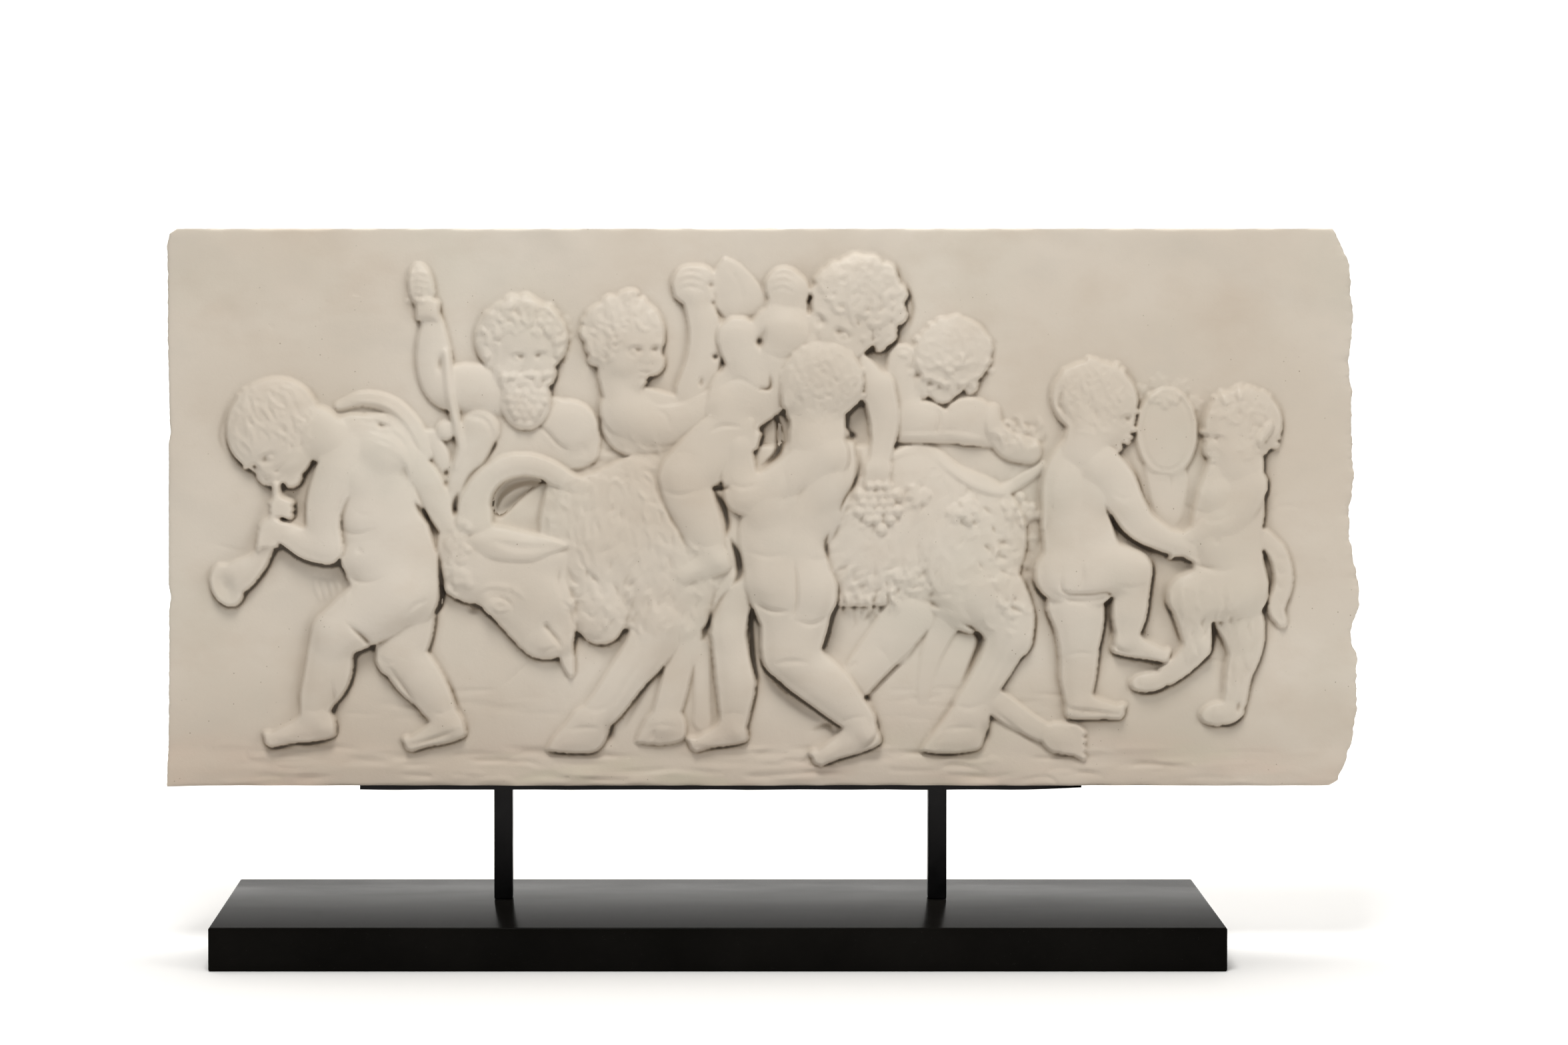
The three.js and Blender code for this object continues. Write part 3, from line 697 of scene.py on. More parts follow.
def satyr(R):
    """Bearded figure behind, holding a staff upright."""
    R.begin(0.3, 3)
    R.pillow([(178, 222), (160, 226), (151, 214), (152, 200), (162, 196), (172, 196), (177, 184),
        (173, 172), (196, 168), (226, 172), (232, 184), (229, 198), (220, 205), (204, 210)], 1.2,
        2.6, 13)
    R.ball((216, 193), (15.5, 14), -15, 1.4, 5.0)
    R.settle(0.5)
    R.begin(0.4, 2)
    R.ball((136.5, 268), (6.8, 13), 10, 1.2, 4.6)
    R.settle(0.6)
    R.begin(0.3, 2.8)
    R.limb([(178, 212), (163, 214), (151, 214), (144.5, 222), (143, 235), (142.5, 247), (141, 253)],
           [14, 13, 11.5, 10, 9, 6.2, 5.4], [0.6, 1.2, 1.6, 2.0, 2.2, 2.4, 2.6], 0.42)
    R.ball((140, 256), (6.4, 6), 0, 2.4, 3.6)
    for k in range(4):
        R.limb([(135, 260 - k * 2.7), (140, 260.8 - k * 2.7), (145, 259 - k * 2.7)],
            [1.5, 1.7, 1.4], 4.6, 0.7)
    R.limb([(168, 192), (163, 178), (157, 164), (153, 153)], [10.5, 8.4, 6, 4.6], [2, 2.4, 3, 3.4],
        0.5)
    R.limb([(141, 186), (147, 176), (150, 166)], [5.5, 5, 3], 1.2, 0.4)
    R.ball((149.5, 191), 5.2, 0, 2, 3.0)
    R.limb([(150, 233), (152, 212), (156, 192), (158, 181), (155, 172)], [2.2, 2.5, 2.4, 2.2, 1.8],
        [4.6, 6, 4.6, 3.4, 3], 0.8)
    R.settle(0.6, melt=0.6)
    R.dent((146.5, 226.5), (1.6, 3.8), 2.6)
    R.strokes(
        (1.0, -1.1, (158, 199), (164, 198.5), (171, 196.5), (175, 188), (174, 178)),
        (1.2, -1.4, (197, 196), (204, 190), (210, 183.5), (216, 180)))
    # head
    R.begin(0.35, 1.5)
    R.ball((190, 240), (25, 21), 0, 1.0, 5.5)
    R.ball((192.5, 208), (13.5, 16.5), 0, 1.8, 6.8, 2.4)
    R.ball((181, 221), (5.5, 7), 20, 1.6, 5.6)
    R.ball((203, 221), (5.5, 7), -20, 1.6, 5.6)
    head(R, (191, 237), 21.5, (10, -8, 2), 2.0, 0.32, (-28, 208, 19, 0.19, 1.6, 6), 0.7, count=360,
        length=0.26, width=0.085, rise=0.07, hook=4.4, spread=1.5, rad=(1.1, 1.0, 1.1), seed=5)
    R.keep()
    rng = np.random.default_rng(5)
    for ring, (a, b) in enumerate(((23, 18.5), (19, 15), (15, 11))):
        n = (15, 12, 9)[ring]
        for k in range(n):
            t = math.radians((-22, -12, 8)[ring] + (224, 204,
                164)[ring] * k / (n - 1)) + rng.normal() * 0.08
            curl(R, (191 + a * math.cos(t), 241 + b * math.sin(t) + rng.normal() * 0.8),
                2.6 + 1.4 * rng.random(), 1.5, 1 if k % 2 else -1, rng.random() * 6)
    for row in range(7):
        n = (6, 6, 5, 5, 4, 3, 2)[row]
        for k in range(n):
            curl(R, (192.5 + (k - (n - 1) / 2) * 4.7 + rng.normal() * 0.6,
                220.5 - row * 4.4 + rng.normal() * 0.5), 2.9, 2.0, 1 if (k + row) % 2 else -1,
                rng.random() * 6)
    for s in (-1, 1):
        R.stroke([(190 + s * 2, 220.5), (190 + s * 7, 219.5), (190 + s * 11, 216)], 1.5, 1.4)
        R.bump((191 + s * 8, 258), (3.4, 5), 2.2, 90 - s * 28)
    R.keep()
    for row in range(5):
        for k in range(3):
            R.bump((134.6 + (k - 1) * 3.6 + row * 0.5 - 1, 261.5 + row * 3.6 - abs(k - 1) * 0.8),
                (2.3, 2.0), 1.3)


def lad(R):
    """Child behind the goat, arm raised beside a wineskin."""
    R.begin(0.3, 3)
    # wineskin
    R.pillow([(299, 284), (294, 277), (292, 268), (294, 258), (302, 250), (312, 252), (320, 256),
        (321, 263), (315, 272), (307, 280)], 0.8, 3.6, 10)
    R.limb([(252, 196), (270, 193), (288, 196)], [19, 17, 12], 1.5, 0.34)
    R.ball((246, 202), (14, 12.5), 0, 2.4, 6.5)
    R.limb([(282, 212), (287, 226), (289, 240), (287, 252), (284, 260)], [9.5, 9.4, 9.2, 8.2, 7],
        [1.6, 1.8, 2.2, 2.4, 2.6], 0.5)
    R.pillow([(272, 263), (271, 271), (275, 278), (284, 280), (292, 277), (293.5, 269), (291, 262),
        (284, 257), (277, 259)], 2.4, 4.4, 8)
    R.settle(0.6)
    R.begin(0.7, 1.2)
    R.limb([(291, 262), (288, 267), (282, 269)], [2.4, 2.3, 1.8], 0.5, 0.6)
    R.settle(0.3, 0.8, 0.5)
    for k in range(3):
        R.stroke([(274, 274.5 - k * 4.2), (281, 276.6 - k * 4.2), (289, 274 - k * 4.2)], 0.8, -0.9)
    R.dent((291.6, 269), (1.5, 1.5), 2.2)
    R.begin(0.3, 2)
    R.limb([(246, 200), (262, 194), (280, 197), (292, 205)], [12, 10.5, 9.4, 7.5],
        [3.0, 3.2, 3.2, 3.2], 0.5)
    R.limb([(242, 222), (244, 214)], [11, 11], 2.4, 0.4)
    head(R, (246.5, 240), 22.5, (32, -5, -2), 2.0, 0.33, (62, 262, 15, 0.13, 2.2, 22), 0.7,
        count=300, length=0.36, width=0.085, rise=0.060, hook=2.8, spread=0.7, seed=21)
    R.strokes(
        (1.0, -0.7, (262, 203), (268, 199), (270, 192)),
        (1.6, -0.5, (300, 280), (306, 271), (309, 260)))


def goat(R):
    """The goat: body, legs, lowered head and horns."""
    R.begin(0.2, 4)
    R.limb([(240, 140), (262, 142), (300, 140), (345, 140), (390, 139), (425, 133)],
        [22, 36, 42, 43, 42, 36], [1.0, 1.2, 1.2, 1.2, 1.2, 1.0], 0.19, full=2.4)
    R.pillow([(204, 164), (228, 168), (256, 178), (268, 150), (262, 100), (248, 84), (236, 92),
        (214, 112), (200, 134)], 1.6, 6.0, 16)
    R.ball((268, 124), (32, 46), 8, 1.4, 9.0)
    R.ball((429, 122), (29, 36), 0, 1.4, 9.0)
    R.ball((434, 106), (24, 24), 20, 1.4, 9.0)
    # far legs
    R.limb([(277, 82), (274, 62), (270, 46), (266, 34)], [10, 7.6, 7.6, 7], [1.0, 1.2, 1.4, 1.4],
        0.5)
    R.limb([(287, 74), (287, 52), (287, 34)], [4.4, 4.2, 4.6], 0.4, 0.3)
    R.pillow([(251, 23), (254, 30), (260, 39), (273, 41), (278, 34), (277, 25), (266, 22)], 1.2,
        3.6, 6)
    R.settle(0.8)
    R.begin(0.2, 2.6)
    # near foreleg
    R.limb([(264, 88), (258, 74), (246, 58), (237, 45), (230, 37)], [15, 12.5, 10.5, 9.6, 9],
        [2.0, 2.4, 2.8, 2.8, 2.6], 0.52)
    R.pillow([(203, 19), (207, 26), (214, 34), (221, 42), (236, 44), (238, 35), (236, 26),
        (229, 18), (214, 17.5)], 2.2, 5.0, 9)
    # hind leg
    R.limb([(440, 104), (449, 92), (452, 80)], [20, 16, 12.5], [2.2, 2.4, 2.4], 0.5)
    R.limb([(452, 82), (446, 68), (438, 54), (431, 42)], [12, 9.8, 9.0, 9.4], [2.4, 2.4, 2.6, 2.4],
        0.54)
    R.pillow([(404, 18.5), (409, 27), (416, 36), (424, 44), (439, 44), (441, 34), (438, 24),
        (434, 19), (418, 17)], 2.2, 5.0, 9)
    R.settle(0.8)
    # throat and neck
    R.begin(0.3, 3)
    R.limb([(236, 130), (228, 112), (224, 96)], [26, 22, 14], [2.2, 2.4, 2.4], 0.26)
    R.ball((232, 93), (14, 17), 8, 3.6, 6.0)
    R.settle(0.6)
    # head
    R.begin(0.3, 2.4)
    R.pillow([(150, 140), (147, 124), (147, 108), (155, 101), (168, 97), (178, 87), (188, 76),
        (196, 69.5), (207, 68.5), (213, 73), (216, 84), (217, 98), (214, 112), (216, 126),
        (200, 134), (172, 142)], 3, 7.4, 17)
    R.ball((200, 102), (18, 15), -40, 4, 8.0)
    R.ball((176, 98), (9, 6.5), -42, 5, 6.4)
    R.ball((206, 76), (8, 7), 0, 4, 5.6)
    R.limb([(214, 98), (215, 86), (214, 76)], [4.6, 4.2, 3.6], 4.6, 0.6)
    R.limb([(213, 76), (214.5, 68), (216.5, 60)], [4.4, 3.6, 1.8], 3, 0.5)
    R.ball((160, 122), (15, 24), 12, 3.4, 6.6)
    R.settle(0.7)
    # ear
    R.begin(0.5, 1.4)
    R.pillow([(160, 133), (172, 124), (184, 121.5), (196, 121.5), (205, 125), (215, 129.5),
        (204, 134), (188, 138), (170, 140)], 3.8, 4.6, 7)
    R.settle(0.7)
    R.strokes(
        (2.6, -1.7, (176, 132), (190, 128.5), (206, 129)),
        (1.2, 0.6, (170, 138), (186, 137), (202, 133)))
    # horns
    R.begin(0.3, 1.4)
    R.limb([(165, 143), (166, 152), (171, 162), (180, 170), (192, 172.5), (204, 169.5),
        (214, 164.5), (224, 161), (231, 160.5)], [10, 9, 7.6, 6.8, 6.4, 6, 5, 3.8, 2],
        [4.2, 4.6, 4.8, 4.8, 4.6, 4.4, 4.0, 3.6, 3.2], 0.62)
    R.settle(0.8)
    path = spline([(165, 143), (166, 152), (171, 162), (180, 170), (192, 172.5), (204, 169.5),
        (214, 164.5), (224, 161)], 3)
    for i in range(1, len(path) - 1):
        d = path[i + 1] - path[i - 1]
        n = np.array([-d[1], d[0]]) / math.hypot(*d)
        r = 9.0 - 4.6 * i / len(path)
        R.stroke([path[i] - n * r, path[i] + d * 0.25, path[i] + n * r], 1.0, -0.22)
    # deep hollow under the horn
    R.stroke([(176, 148), (177, 155), (183, 161), (192, 164), (201, 163.5)], 2.6, -6.5, sharp=4)
    R.stroke([(178, 148), (184, 153), (192, 159)], 2.4, -2.6, sharp=3)
    # eye, nostril, mouth
    R.strokes(
        (0.9, -1.2, (171, 99.5), (176, 102), (183, 100), (186, 95)),
        (0.8, -1.0, (172, 96), (178, 93), (185, 94)))
    R.dent((179, 97), (1.7, 1.4), 1.4)
    R.stroke([(166, 104), (174, 108), (186, 106), (194, 100)], 1.6, 1.0)
    R.dent((164.5, 94.5), (3, 2), 2.4)
    R.stroke([(203, 87), (206, 83), (210, 78), (212, 73.5)], 1.2, -2.4)
    R.dent((203.5, 86), (1.8, 2.2), 1.6)
    R.strokes(
        (0.8, -0.9, (200, 70), (205, 74), (210, 75)), (0.9, -0.9, (184, 108), (185, 103)),
        (1.4, -0.5, (190, 78), (196, 84), (201, 92)),
        (1.3, -1.4, (219, 82), (218, 92), (222, 104)))
    for pts in ([(211, 118), (210, 110), (212, 101)], [(215, 118), (217, 112), (221, 108)],
            [(222, 121), (227, 114), (232, 109)], [(211, 100), (216, 96), (218, 88)],
            [(224, 94), (228, 91), (231, 94)], [(221, 84), (227, 79), (234, 79)]):
        R.stroke(pts, 1.1, -1.2)
    # forelock curls
    R.keep()
    rng = np.random.default_rng(8)
    for k in range(34):
        t = k / 33
        u = 160 - 8 * math.sin(t * 3.1) + rng.normal() * 3.6
        v = 104 + 38 * t + rng.normal() * 1.5
        curl(R, (u, v), 2.4 + rng.random() * 1.2, 1.5, 1 if k % 2 else -1, rng.random() * 6)

    # coat: neck and chest, flank, belly fringe, haunch
    def chest(u, v):
        below = (u < 217 and v < 132) or (u < 246 and v < 108)
        return v < 172 - 0.1 * abs(u - 250) and not below

    def flank(u, v):
        return v > 96 + 0.25 * abs(u - 400) and u > 356 + 0.1 * abs(v - 130)

    for coat in (
        (chest, (202, 292, 84, 172), lambda u, v: -84 + 30 * math.sin(u / 11 + v / 17),
         620, 10, 1.0, 0.55, 41),
        (lambda u, v: True, (218, 246, 78, 108), lambda u, v: -90 + 8 * (u - 232),
         60, 8, 1.1, 0.7, 45, 0.9),
        (flank, (352, 458, 96, 172), lambda u, v: -118 + 24 * math.sin(u / 15 - v / 19),
         640, 8.5, 1.1, 0.42, 42),
        (lambda u, v: v > 92 - (u - 368) * 0.1, (364, 412, 88, 122),
         lambda u, v: -118 + 0.5 * (u - 380), 150, 10, 1.1, 0.9, 43, 0.8),
        (lambda u, v: u > 436 + 0.12 * (v - 90), (432, 462, 84, 150),
         lambda u, v: -62 + 0.3 * (v - 110), 120, 9, 1.2, 0.85, 44, 0.8),
        (lambda u, v: 158 + 0.3 * abs(u - 250) < v < 184, (226, 290, 158, 196),
         lambda u, v: 160 + 20 * math.sin(u / 9), 90, 9, 1.1, 0.6, 46),
    ):
        fleece(R, *coat)
    R.stroke([(195, 68), (187, 60), (178, 52)], 0.7, -0.9)
    for u, v in ((449, 131), (447, 124), (449, 115), (454, 96), (404, 98), (411, 98)):
        R.stroke([(u - 3, v + 1.6), (u, v), (u + 4, v - 2.4)], 1.3, -2.0)
    # hoofs
    for a, c2 in (((204, 19), (236, 31)), ((405, 19), (438, 31))):
        R.stroke([(a[0] + 9, 30), (a[0] + 20, 31.5), (c2[0] - 3, c2[1])], 0.9, -0.9)
        R.stroke([(a[0] + 13, 29.5), (a[0] + 8, 24), (a[0] + 5, 19)], 0.8, -0.9)
        R.dent((c2[0] + 1.4, 28.5), (2.4, 4.6), 3.0)
    R.strokes(
        (0.8, -0.7, (257, 31), (266, 33), (275, 31)), (0.8, -1.2, (262, 31), (259, 24)))
    # gap between the forelegs
    R.stroke([(265, 68), (257, 54), (249, 38), (244, 28)], 1.6, -1.0)
    # leg sinews and fetlocks
    R.strokes(
        (1.4, -0.6, (256, 70), (246, 55), (238, 42)), (1.0, -0.7, (224, 42), (231, 41), (238, 44)),
        (1.3, -0.6, (452, 80), (445, 64), (437, 49)), (1.0, -0.7, (422, 44), (430, 42), (439, 45)))
    # haunch modelling
    R.stroke([(404, 150), (402, 128), (410, 104), (424, 92)], 3.2, -0.9)


def tail(R):
    """Upturned tail, ribbon along the back, grapes and leaves."""
    R.begin(0.96, 1.2, 2.4)
    R.limb([(388, 178), (400, 181), (411, 179), (422, 170), (434, 162), (448, 159), (460, 165),
        (470, 172)], [2.2, 2.6, 2.8, 3, 3, 3, 3, 2.4], 0.5, 0.6)
    R.limb([(388, 187), (405, 187), (425, 187), (443, 184)], [2.6, 3, 3, 2.4], 0.6, 0.5)
    R.limb([(443, 202), (444, 192), (451, 183), (462, 180)], [3.4, 5, 7, 7], [0.8, 1.4, 1.6, 1.4],
        0.5)
    R.settle(0.5, melt=0.8)
    R.keep()
    rng = np.random.default_rng(4)
    for k in range(30):
        t = rng.random()
        u, v = 446 + 20 * t, 178 + 20 * rng.random() * (0.4 + 0.6 * t)
        g = math.radians(100 - 60 * t + rng.normal() * 20)
        R.stroke([(u, v), (u + 5 * math.cos(g), v + 5 * math.sin(g)),
            (u + 8 * math.cos(g + 0.7), v + 8 * math.sin(g + 0.7))], 1.3, 1.2 if k % 3 else -1.0)
    leaf(R, (424, 152), 13, -60, 2.2)
    leaf(R, (434, 150), 12, 200, 2.2)
    grapes(R, (459, 148), (10, 7), 3.1, 2.6, 6)
    leaf(R, (404, 160), 11, 250, 1.8)


def rider(R):
    """Child riding, arm raised, other hand on grapes."""
    R.begin(0.25, 2.6)
    R.ball((331, 268), (10.4, 10.6), 15, 3, 5.0)
    R.ball((337, 266), (7.6, 9), 10, 3, 4.6)
    R.limb([(332, 248), (333, 262)], [13, 10], [4, 3.6], 0.42)
    R.settle(0.6)
    R.begin(0.25, 2.6)
    R.limb([(330, 240), (322, 222), (308, 208)], [19, 20, 18], [4, 4, 4], 0.36)
    R.ball((306, 207), (18, 12.5), 28, 4.6, 7.4)
    R.ball((334, 243), (15, 12), -18, 5, 6.4)
    R.limb([(306, 241), (309, 230), (314, 219)], [11, 10.4, 9], [4.6, 4.8, 4.6], 0.56)
    # leg over the goat's flank
    R.limb([(303, 190), (290, 178), (278, 168)], [15, 15.5, 13.6], [5.2, 6.4, 7.0], 0.5)
    R.limb([(277, 166), (281, 153), (287, 139), (291, 128)], [13.2, 13.0, 10.6, 7.6],
        [7.0, 6.8, 6.4, 6.0], 0.54)
    foot(R, (296, 121), (274, 112.5), 7, 5.2, 5.8, up=-1)
    R.settle(0.8)
    R.begin(0.3, 1.8)
    R.limb([(352, 240), (350, 234)], [11, 12], 5, 0.5)
    R.limb([(361, 231), (371, 222), (380, 213)], [9.4, 9.6, 9.2], [5, 5, 4.6], 0.56)
    R.limb([(381, 214), (384, 200), (384, 188), (382, 176)], [9, 8.2, 7, 5.6], [4.6, 4.8, 4.8, 4.8],
        0.56)
    R.ball((381, 171), (7.4, 6.4), 0, 5.4, 3.6)
    for k in range(4):
        R.limb([(376 + k * 3.3, 171), (375.6 + k * 3.3, 165.5), (375.4 + k * 3.1, 161.5)],
            [1.8, 1.7, 1.4], 6.4, 0.8)
    R.settle(0.6)
    R.begin(0.3, 1.6)
    head(R, (368, 256), 25.5, (-20, -26, -23), 4.2, 0.34, (-62, 176, 19, 0.14, 4.6, 32), 0.7,
        volume=1.03, count=300, length=0.38, width=0.105, rise=0.07, hook=3.2, spread=1.0, seed=31)
    R.strokes(
        (1.2, -0.9, (296, 214), (306, 219), (318, 213)),
        (1.3, -1.2, (290, 190), (298, 194), (309, 193)),
        (2.0, -2.4, (318, 233), (318.5, 240), (321, 246)),
        (1.2, -0.7, (320, 233), (330, 230), (341, 234)),
        (1.2, -0.9, (265, 160), (275, 157), (290, 161)),
        (0.8, -0.6, (283, 131), (290, 129), (298, 132)),
        (1.0, -0.4, (268, 176), (276, 180), (285, 178)))
    for k in range(3):
        R.stroke([(323.5, 273 - k * 4), (330, 275.5 - k * 4), (337, 272.5 - k * 4)], 0.9, -0.9)
    R.pierce([(262, 166), (264, 158), (270, 146), (276, 134), (279, 126)], 1.7, -1.3)
    grapes(R, (382, 152), (11, 12.5), 3.0, 2.8, 3)


def fallen(R):
    """Child tumbled under the goat; only limbs show."""
    R.begin(0.3, 2)
    R.limb([(420, 94), (414, 80), (409, 66), (406, 50), (405, 42)], [9, 6.5, 5, 3.5, 2],
        [0.3, 0.3, 0.1, -0.4, -1], 0.36)
    R.limb([(400, 92), (397, 80), (392, 70)], [7, 6, 5], 0.5, 0.35)
    R.settle(0.5)
    R.begin(0.3, 2.4)
    R.limb([(398, 92), (388, 79), (377, 66), (369, 55)], [13, 12, 10.4, 9], [0.2, 0.8, 1.4, 1.6],
        0.36)
    R.limb([(440, 48), (450, 41), (462, 33), (474, 27)], [7, 7, 6, 5], [1.0, 1.2, 1.4, 1.6], 0.42)
    R.settle(0.6)
    R.begin(0.3, 1.4)
    R.ball((478, 26), (8.6, 8.4), -15, 1.8, 3.6)
    for k in range(4):
        R.limb([(481, 31 - k * 4.0), (487, 31.5 - k * 4.4), (491.5, 28.5 - k * 4.4)],
            [2.4, 2.2, 1.7], 2.4, 0.8)
    R.settle(0.6)
    R.dent((375, 46.5), (2.0, 1.8), 3.2)
    R.strokes(
        (1.0, -1.4, (398, 70), (388, 60), (377, 48)), (1.0, -1.2, (371, 67), (366, 64), (361, 61)),
        (0.9, -1.2, (443, 40), (450, 35), (460, 27), (470, 20)))
    R.dent((360, 78), (11, 10), 2.6)
    R.stroke([(379, 76), (384, 72), (388, 66)], 1.4, -0.6)
    # painted shadow: a broad shallow cut beside the front child's shin, remembered as drilled so
    # that it is painted dark as the shadow cast there
    R.pierce([(322, 57), (331, 48), (341, 40), (352, 34)], 3.4, -1.5)


def puller(R):
    """Front child from behind, climbing at the goat's flank: the highest relief."""
    R.begin(0.2, 2.2)
    # far leg
    R.limb([(309, 108), (303, 96), (301, 82)], [11, 10, 9.6], [4, 4, 4], 0.55)
    R.limb([(301, 82), (303, 68), (305, 55), (304.5, 42), (304, 35)], [9.4, 9.8, 10.6, 8.6, 7.4],
        [3.8, 3.8, 3.6, 3.4, 3.2], 0.56)
    foot(R, (306, 28.5), (281, 22), 6.4, 4.8, 2.8, up=-1)
    R.settle(0.9)
    R.begin(0.2, 3)
    # back
    R.limb([(352, 180), (347, 168), (338, 152), (331, 138), (330, 124)], [17, 21.5, 24.5, 24, 22],
        [6.2, 6.6, 6.8, 6.8, 6.8], 0.34)
    R.limb([(331, 124), (334, 108), (335, 98)], [22, 22.5, 20], [6.8, 7, 7], 0.42)
    R.ball((325, 112), (15.5, 15), 15, 7, 9.4)
    R.ball((346, 104), (13.5, 17), 0, 7, 9.0)
    R.ball((322, 152), (13, 17), -25, 7, 8.6)
    R.ball((352, 162), (13, 17), -22, 7, 8.6)
    # standing leg
    R.limb([(338, 101), (336, 86), (334, 72)], [19.5, 18, 15.5], [7, 7, 6.6], 0.55)
    R.limb([(334, 72), (342, 63), (353, 54), (364, 43), (372, 35)], [15, 13.8, 13, 10.6, 8.2],
        [6.4, 6, 5.4, 4.8, 4.2], 0.56)
    foot(R, (376, 27), (347, 14.5), 7.6, 5.6, 3.6, up=-1)
    R.settle(0.9)
    R.begin(0.25, 2)
    # arm
    R.limb([(352, 178), (338, 168), (324, 160), (310, 156)], [13.5, 12, 10.8, 10],
        [8.5, 8.8, 8.6, 8.2], 0.52)
    R.limb([(309, 157), (307, 168), (306.5, 180)], [10.4, 9.2, 7.6], [8, 7.8, 7.2], 0.56)
    hand(R, (306.5, 182), 88, 13, 6.6, 0.5, 3, 6, thumb=-1)
    R.settle(0.9)
    # neck and head
    R.begin(0.3, 1.8)
    R.limb([(348, 186), (349, 196)], [15, 15], [7, 7], 0.4)
    head(R, (350, 214), 23.0, (-152, 6, 4), 6.0, 0.38, (-30, 210, 17, 0.08, 6.4, 42), 0.8,
        features=False, count=460, length=0.34, width=0.066, rise=0.034, hook=1.8, spread=0.6,
        seed=41)
    # spine, creases
    R.strokes(
        (2.2, -0.9, (349, 180), (343, 165), (336, 148), (332, 130)),
        (1.2, -1.9, (336, 122), (337, 112), (337, 98), (334, 90)),
        (1.3, -1.7, (315, 99), (324, 95), (334, 95)), (1.2, -1.3, (336, 90), (346, 88), (354, 92)),
        (1.2, -0.7, (310, 127), (322, 124), (333, 126)),
        (1.1, -0.6, (340, 124), (350, 122), (356, 126)),
        (1.3, -1.0, (325, 66), (334, 68), (345, 67)), (0.9, -0.7, (358, 34), (368, 37), (376, 38)),
        (0.8, -0.6, (296, 38), (304, 39.5), (311, 38)),
        (1.8, -0.7, (330, 172), (332, 160), (328, 148)),
        (1.6, -0.6, (360, 176), (358, 164), (362, 154)),
        (1.1, -0.9, (301, 164), (308, 161), (318, 163)))


def bowed(R):
    """Wreathed child bowing behind the goat's back."""
    R.begin(0.3, 2.6)
    R.ball((403, 196), (17, 11), 0, 2, 5.4)
    R.ball((430, 196), (14, 13), 0, 1.8, 5)
    R.limb([(394, 230), (394, 216), (397, 202)], [7.5, 8.5, 8], 2, 0.4)
    R.settle(0.6)
    R.begin(0.3, 1.6)
    head(R, (419, 229), 21, (-30, -42, -16), 1.6, 0.32, (-10, 190, 13, 0.10, 1.8, 52), 0.7,
        count=260, length=0.32, width=0.085, rise=0.036, hook=2.4, spread=0.6, face=0.5, seed=51)
    for c, size, angle in (((405, 224), 8, 200), ((412, 219), 8, 250), ((421, 217), 8, 275),
            ((430, 219), 8, 300), ((437, 225), 7, 340), ((399, 231), 7, 170), ((416, 224), 7, 60),
            ((427, 226), 7, 100)):
        leaf(R, c, size, angle, 1.3, 3)
    R.stroke([(412, 205), (414, 196), (411, 187)], 1.4, -1.4)


def dancer(R):
    """Right-hand child from behind, one knee lifted, reaching for the drum."""
    R.begin(0.25, 2.4)
    # standing leg
    R.limb([(487, 98), (489, 88), (489, 76)], [15.5, 13.5, 11], [3.4, 3.4, 3.2], 0.55)
    R.limb([(489, 78), (489, 68), (488.5, 58), (488.5, 47)], [11, 10.4, 9.6, 7.2],
        [3.2, 3, 2.8, 2.8], 0.56)
    foot(R, (487, 42), (513, 40), 6.6, 5, 2.6, up=1)
    R.settle(0.8)
    R.begin(0.25, 2.8)
    R.limb([(495, 180), (489, 165), (487, 148), (489, 132), (492, 118)], [15, 19, 18.5, 19.5, 22],
        [4, 4.2, 4.4, 4.6, 4.8], 0.40)
    R.ball((480, 114), (15, 15), 0, 5, 8.4)
    R.ball((503, 116), (16, 14), 0, 5, 8.4)
    R.ball((481, 160), (10.5, 16), -8, 4.6, 7)
    R.ball((499, 160), (10.5, 16), 8, 4.6, 7)
    # lifted leg
    R.limb([(498, 116), (508, 117), (516, 116)], [15, 13.5, 11.5], [5.6, 6, 6], 0.55)
    R.limb([(517, 116), (517, 104), (516, 93), (515, 82)], [11.4, 9.8, 9.4, 6.6],
        [5.8, 5.2, 4.8, 4.4], 0.56)
    foot(R, (512, 76), (537, 70), 6, 4.6, 4, up=1)
    R.settle(0.8)
    R.begin(0.25, 2)
    R.limb([(500, 172), (508, 164), (514, 152)], [11.5, 10.8, 9.8], [6, 6.2, 6], 0.55)
    R.limb([(514, 152), (521, 141), (532, 134), (542, 129)], [9.8, 8.8, 7, 5.6], [6, 5.8, 5.4, 5],
        0.56)
    hand(R, (546, 128), -8, 10.5, 4.6, 0.5, 14, -12)
    R.settle(0.8)
    R.begin(0.3, 1.8)
    R.limb([(492, 180), (494, 188)], [12, 12.5], [4.6, 4.6], 0.45)
    head(R, (499, 205), 22, (68, -8, -8), 3.0, 0.33, (46, 246, 17, 0.09, 3.2, 62), 0.8, count=360,
        length=0.40, width=0.070, rise=0.040, hook=1.7, spread=0.4, seed=61)
    R.strokes(
        (3.4, -0.55, (491, 172), (489, 158), (488, 140), (489, 128)),
        (1.4, -1.2, (490, 120), (490, 112), (487, 104)),
        (1.4, -1.5, (476, 103.5), (486, 100.5), (498, 101), (508, 104)),
        (1.0, -0.6, (506, 158), (512, 155), (518, 157)),
        (1.0, -0.7, (481, 70), (489, 72), (498, 71)),
        (1.0, -0.6, (508, 109), (517, 107), (525, 109)))


